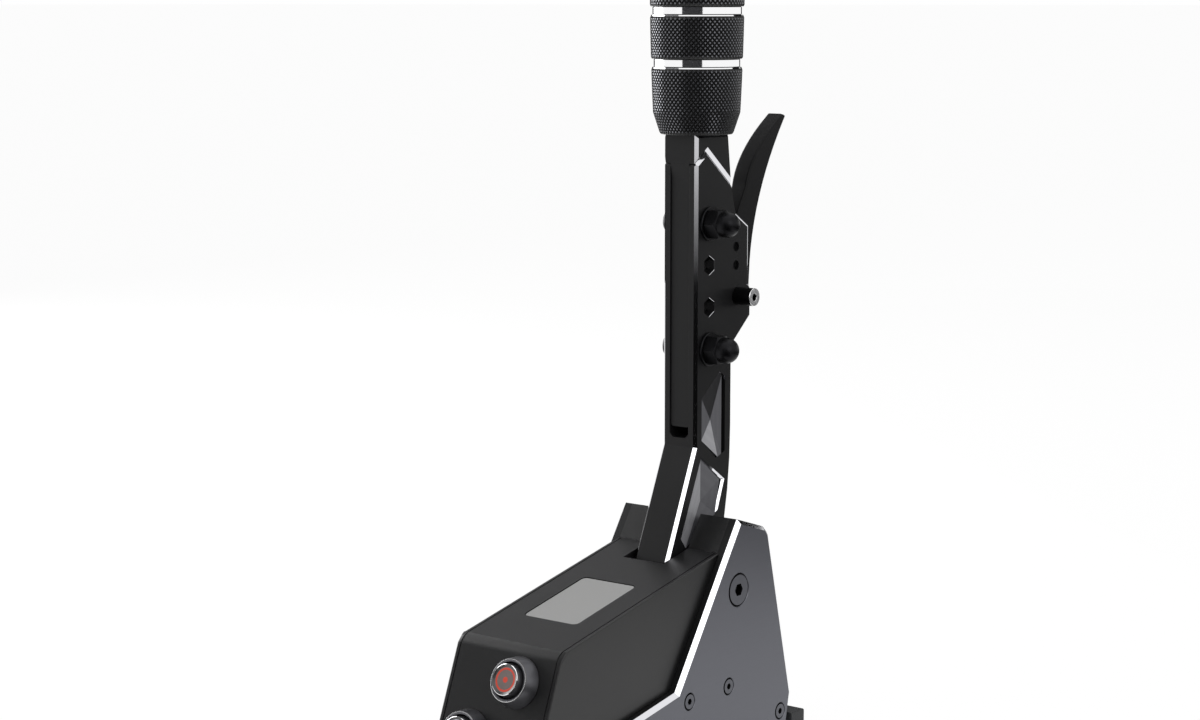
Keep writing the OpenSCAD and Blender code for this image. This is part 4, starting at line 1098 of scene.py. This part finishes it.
class LEVER_UNIT_OT_housing(bpy.types.Operator):
    """Rounds the moulded housing and cuts its joint lines"""

    bl_idname = "lever_unit.housing"
    bl_label = "Housing"

    # How closely the deck faces its direction, the least area of it, and the room left at its back end
    deck_facing, deck_area, deck_room = 0.9999, 20 * MM * MM, 0.2 * MM
    # Steps of the nose's arc, and its reach from the edge that it replaces, as a share of its setback
    arc_steps, arc_reach = 12, 1.5
    # How far the joint's cutter stands out of the housing
    overcut = MM

    def execute(self, context):
        sizes = context.scene.lever_unit_sizes
        bm = cad_copy("housing")
        slope = math.tan(math.radians(DECK_SLOPE))
        lean = math.tan(math.radians(FRONT_LEAN))
        nose_y, nose_z = self.nose(bm)

        def on_deck(point):
            return near(point.z - nose_z, (point.y - nose_y) * slope)

        def on_nose_front(point):
            return near(point.y - nose_y, (point.z - nose_z) * lean) and point.z < nose_z + WELD

        def is_nose(a, b):
            return all(on_deck(end) and on_nose_front(end) for end in (a, b))

        def on_arc(point):
            return math.hypot(point.y - nose_y, point.z - nose_z) < self.arc_reach * sizes.nose_round

        def is_side(a, b):
            on_side = near(abs(a.x), HOUSING_HALF) and near(a.x, b.x)
            return on_side and any(test(a) and test(b) for test in (on_deck, on_nose_front, on_arc))

        round_edges(bm, sizes.nose_round, 6, is_nose)
        round_edges(bm, sizes.housing_round, 4, is_side)
        self.cut_joint(bm, nose_y, nose_z, sizes)
        piece("housing_moulded", bm, "base", (moulded_black,), ("housing",))
        return {"FINISHED"}

    def contour(self, nose_y, nose_z, setback, out):
        """Points along deck, nose and front in the side view, moved outwards."""
        deck, front = math.radians(90 - DECK_SLOPE), math.radians(FRONT_LEAN)
        radius = setback / math.tan((deck - front) / 2)
        middle_y = nose_y + setback * math.sin(deck) + radius * math.cos(deck)
        middle_z = nose_z + setback * math.cos(deck) - radius * math.sin(deck)
        reach = radius + out
        arc = [deck + (front - deck) * i / self.arc_steps for i in range(self.arc_steps + 1)]
        points = [(middle_y - reach * math.cos(a), middle_z + reach * math.sin(a)) for a in arc]
        back = (self.deck_end - points[0][0]) / math.sin(deck)
        down = (points[-1][1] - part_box("housing")[0].z + self.overcut) / math.cos(front)
        first = (self.deck_end, points[0][1] + back * math.cos(deck))
        last = (points[-1][0] - down * math.sin(front), points[-1][1] - down * math.cos(front))
        return [first] + points + [last]

    def cut_joint(self, bm, nose_y, nose_z, sizes):
        """Cuts the fine joint between cover and side walls, along both edges of deck, nose and front."""
        outline = self.contour(nose_y, nose_z, sizes.nose_round, self.overcut)
        outline += reversed(self.contour(nose_y, nose_z, sizes.nose_round, -sizes.joint_depth))
        cutter = bmesh.new()
        for side in (1, -1):
            edges = [side * (HOUSING_HALF - sizes.joint_in - share * sizes.joint_width) for share in (0, 1)]
            skin(cutter, [[Vector((x, y, z)) for y, z in outline] for x in edges])
        bmesh.ops.recalc_face_normals(cutter, faces=cutter.faces)
        solids = []
        for name, form in (("uncut", bm), ("cutter", cutter)):
            mesh = bpy.data.meshes.new(name)
            form.to_mesh(mesh)
            solids.append(bpy.data.objects.new(name, mesh))
            bpy.context.scene.collection.objects.link(solids[-1])
        cutter.free()
        cut = solids[0].modifiers.new("joint", "BOOLEAN")
        cut.object = solids[1]
        cut.solver = "EXACT"
        evaluated = solids[0].evaluated_get(bpy.context.evaluated_depsgraph_get())
        bm.clear()
        bm.from_mesh(evaluated.to_mesh())
        evaluated.to_mesh_clear()
        for solid in solids:
            mesh = solid.data
            bpy.data.objects.remove(solid)
            bpy.data.meshes.remove(mesh)
        bmesh.ops.dissolve_limit(bm, angle_limit=FLAT, verts=bm.verts, edges=bm.edges)

    def nose(self, bm):
        """Y and Z of the edge between front and deck: the foremost point of the deck."""
        deck = [face for face in bm.faces
                if face.normal.dot(DECK_UP) > self.deck_facing and face.calc_area() > self.deck_area]
        points = [vert.co for face in deck for vert in face.verts]
        front = min(points, key=lambda point: point.y)
        self.deck_end = max(point.y for point in points) - self.deck_room
        return front.y, front.z


class LEVER_UNIT_OT_plates(bpy.types.Operator):
    """Cuts the side plates with bright chamfers and edges the base plate"""

    bl_idname = "lever_unit.plates"
    bl_label = "Side plates and base plate"

    # Least area of a facet that is cut bright, and the slope below which a face belongs to the edge
    chamfer_area, edge_slope = 6 * MM * MM, 0.5
    # Base plate: rounding of its upper edges and the length of the shortest that gets one
    base_round, shortest = 0.5 * MM, 8 * MM
    # Finishes, and the places of the bright one and of the edge's among them
    finishes, bright, edge = (side_plate_grey, bright_cut, anodised_black), 1, 2

    def execute(self, context):
        for node in ("left_side_plate", "right_side_plate"):
            bm = cad_copy(node)
            for face in bm.faces:
                slope = abs(face.normal.x)
                at_rim = min(abs(abs(vert.co.x) - PLATE_OUT) for vert in face.verts) < WELD
                is_large = face.calc_area() > self.chamfer_area
                if at_rim and is_large and BRIGHT_FACET[0] < slope < BRIGHT_FACET[1]:
                    face.material_index = self.bright
                elif slope < self.edge_slope:
                    face.material_index = self.edge
            piece(node + "_cut", bm, "base", self.finishes, (node,), CRISP)
        bm = cad_copy("base_plate")
        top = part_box("base_plate")[1].z

        def is_outer(a, b):
            return near(a.z, top) and near(b.z, top) and (a - b).length > self.shortest

        round_edges(bm, self.base_round, 2, is_outer)
        piece("base_plate_edged", bm, "base", (base_black,), ("base_plate",))
        return {"FINISHED"}


class LEVER_UNIT_OT_screws(bpy.types.Operator):
    """Turns the flat-head screws of the side plates"""

    bl_idname = "lever_unit.screws"
    bl_label = "Plate screws"

    # Radius, length and half width of the socket of each kind
    axle_screw, plate_screw = (3 * MM, 14 * MM, 2.0 * MM), (1.5 * MM, 10 * MM, 1.0 * MM)
    # Finishes: the faced top, and the rest with its place in the profile
    finishes, profile_finishes = (plate_screw_grey, black_steel), (1,) * 6 + (0,) + (1,) * 3
    # Distance under which points belong to the same head, and points around a screw
    head_reach, sides = 7 * MM, 48

    def execute(self, context):
        axle, plate = bmesh.new(), bmesh.new()
        places = self.places("plate_screws")
        for side in (1, -1):
            self.add_screw(axle, across(side * PLATE_OUT, PIVOT_Y, PIVOT_Z, side), *self.axle_screw)
            for y, z in places:
                self.add_screw(plate, across(side * PLATE_OUT, y, z, side), *self.plate_screw)
        for node, bm in (("axle_screws", axle), ("plate_screws", plate)):
            piece(node + "_turned", bm, "base", self.finishes, (node,))
        return {"FINISHED"}

    def places(self, node):
        """Middles of the screws on the right side, from the rims of their heads."""
        bm = cad_copy(node)
        found = []
        rim = [vert.co.copy() for vert in bm.verts if abs(vert.co.x - PLATE_OUT) < WELD]
        bm.free()
        while rim:
            group = [point for point in rim if (point - rim[0]).length < self.head_reach]
            middle = sum(group, Vector()) / len(group)
            found.append((middle.y, middle.z))
            rim = [point for point in rim if point not in group]
        return found

    def add_screw(self, bm, place, r, reach, socket):
        """Screw from its end to the floor of its socket, in shares of its radius, with a gap at the rim."""
        head, chamfer, gap = 2 * r, 0.08 * r, 0.3 * MM + 0.05 * r
        hole = hexagon(socket)
        profile = [(r - chamfer, -reach), (r, chamfer - reach), (r, -r), (head, -0.02 * r),
                   (head - 0.3 * gap, -gap), (head - 0.8 * gap, -gap), (head - gap, 0),
                   (hexagon(1.06 * socket), 0), (hole, -0.06 * r), (hole, -0.8 * r)]
        turned(bm, place, profile, self.sides, self.profile_finishes)


class LEVER_UNIT_OT_display(bpy.types.Operator):
    """Lays the glass of the display"""

    bl_idname = "lever_unit.display"
    bl_label = "Display"

    # How closely the glass faces the deck's direction, and the width of its printed border
    facing, border = 0.99, 0.25 * MM

    def execute(self, context):
        bm = cad_copy("display_lens")
        bm.normal_update()
        tops = [face for face in bm.faces if face.normal.dot(DECK_UP) > self.facing]
        bmesh.ops.inset_region(bm, faces=tops, thickness=self.border, depth=0)
        for face in bm.faces:
            face.material_index = 1
        for face in tops:
            face.material_index = 0
        piece("display_lens_glass", bm, "base", (display_glass, display_rim),
              ("display_lens",))
        return {"FINISHED"}


class LEVER_UNIT_OT_buttons(bpy.types.Operator):
    """Turns the two push buttons"""

    bl_idname = "lever_unit.buttons"
    bl_label = "Buttons"

    # Slots of the caps and the finishes of face, rim and rings
    caps = {
        "upper_button": ("button_red", (button_lens, bright_ring, button_red)),
        "lower_button": ("button_white", (button_white, bright_ring, button_white)),
    }
    # Profiles by radius and height over the front face in millimetres, and the finish of each stretch
    body_profile = ((6.9, -22), (7, -21.6), (7, 0), (8.7, 0), (9, 0.3), (8.9, 1.1), (7.6, 5.3), (7.4, 5.55),
                    (7.1, 5.6), (6.5, 5.4), (6.3, 5.0), (6.3, -6))
    body_finishes = (0,) * 6 + (1, 2) + (0,) * 4
    cap_profile = ((6, -3), (6, 4.6), (5.6, 5.2), (5.5, 6.95), (5.38, 7.35), (5.18, 7.5), (4.98, 7.42),
                   (4.3, 7.05), (4.1, 7.0), (3.4, 7.0), (1.0, 7.0), (0.4, 7.0))
    cap_finishes = (3, 3, 3, 4, 1, 4, 4, 0, 2, 0, 2)
    # Points around a button
    sides = 96

    def execute(self, context):
        for name, (slot, makers) in self.caps.items():
            body = self.turn(name, self.body_profile, self.body_finishes)
            piece(name + "_body_turned", body, "base",
                  (button_black, button_bezel, bright_steel), (name + "_body",))
            cap = self.turn(name, self.cap_profile, self.cap_finishes)
            finishes = makers + (button_black, button_bezel)
            piece(name + "_cap_lit", cap, name, finishes, (name + "_cap",))
        return {"FINISHED"}

    def turn(self, name, profile, finishes):
        bm = bmesh.new()
        turned(bm, on_front(name + "_cap"), [(r * MM, h * MM) for r, h in profile], self.sides, finishes)
        return bm


class LEVER_UNIT_OT_rear(bpy.types.Operator):
    """Edges the rear panel and its inlet"""

    bl_idname = "lever_unit.rear"
    bl_label = "Rear panel"

    # Slot, finish and rounding of each node, and the length of the shortest edge that gets one
    edged = {
        "rear_panel": ("moulded_black", moulded_black, 0.25 * MM),
        "inlet_socket": ("bright_steel", bright_steel, 0.12 * MM),
    }
    shortest = 2 * MM

    def execute(self, context):
        for node, (slot, maker, width) in self.edged.items():
            bm = cad_copy(node)
            round_edges(bm, width, 2, lambda a, b: (a - b).length > self.shortest)
            piece(node + "_edged", bm, "base", (maker,), (node,))
        return {"FINISHED"}


class LEVER_UNIT_OT_inner(bpy.types.Operator):
    """Gives the inner parts their finishes"""

    bl_idname = "lever_unit.inner"
    bl_label = "Inner parts"

    finishes = {
        black_steel: ("base_screws", "guide_screws", "board_screws", "sensor_screws", "stop_pins"),
        bright_steel: ("pivot_axle", "tail_pin", "pull_rod", "sensor_magnet"),
        plain_aluminium: ("axle_spacers", "rod_washer", "rod_nut", "grip_core", "upper_button_nut",
                          "lower_button_nut"),
        bronze: ("pivot_bushes", "board_spacers"),
        anodised_black: ("guide_block",),
        circuit_board: ("sensor_board", "main_board"),
        display_rim: ("display_module",),
    }

    def execute(self, context):
        for maker, nodes in self.finishes.items():
            for node in nodes:
                dress(node, maker)
        return {"FINISHED"}


class VIEW3D_PT_lever_unit(bpy.types.Panel):
    """Lists the pieces and what can be set"""

    bl_label = "Lever unit"
    bl_space_type = "VIEW_3D"
    bl_region_type = "UI"
    bl_category = "Lever unit"

    def draw(self, context):
        for group in (context.scene.lever_unit_sizes, context.scene.lever_unit_colours):
            box = self.layout.box()
            for name in group.__annotations__:
                box.prop(group, name)
        for operator in OPERATORS:
            self.layout.operator(operator.bl_idname)


OPERATORS = (
    LEVER_UNIT_OT_stage, LEVER_UNIT_OT_lever, LEVER_UNIT_OT_inserts, LEVER_UNIT_OT_fasteners,
    LEVER_UNIT_OT_grip, LEVER_UNIT_OT_trigger, LEVER_UNIT_OT_springs, LEVER_UNIT_OT_housing,
    LEVER_UNIT_OT_plates, LEVER_UNIT_OT_screws, LEVER_UNIT_OT_display, LEVER_UNIT_OT_buttons,
    LEVER_UNIT_OT_rear, LEVER_UNIT_OT_inner,
)
CLASSES = (LeverUnitSizes, LeverUnitColours) + OPERATORS + (VIEW3D_PT_lever_unit,)


def register():
    for cls in CLASSES:
        bpy.utils.register_class(cls)
    bpy.types.Scene.lever_unit_sizes = PointerProperty(type=LeverUnitSizes)
    bpy.types.Scene.lever_unit_colours = PointerProperty(type=LeverUnitColours)


def unregister():
    del bpy.types.Scene.lever_unit_colours
    del bpy.types.Scene.lever_unit_sizes
    for cls in reversed(CLASSES):
        bpy.utils.unregister_class(cls)


def main():
    register()
    for operator in OPERATORS:
        group, name = operator.bl_idname.split(".")
        getattr(getattr(bpy.ops, group), name)()


if __name__ == "__main__":
    main()
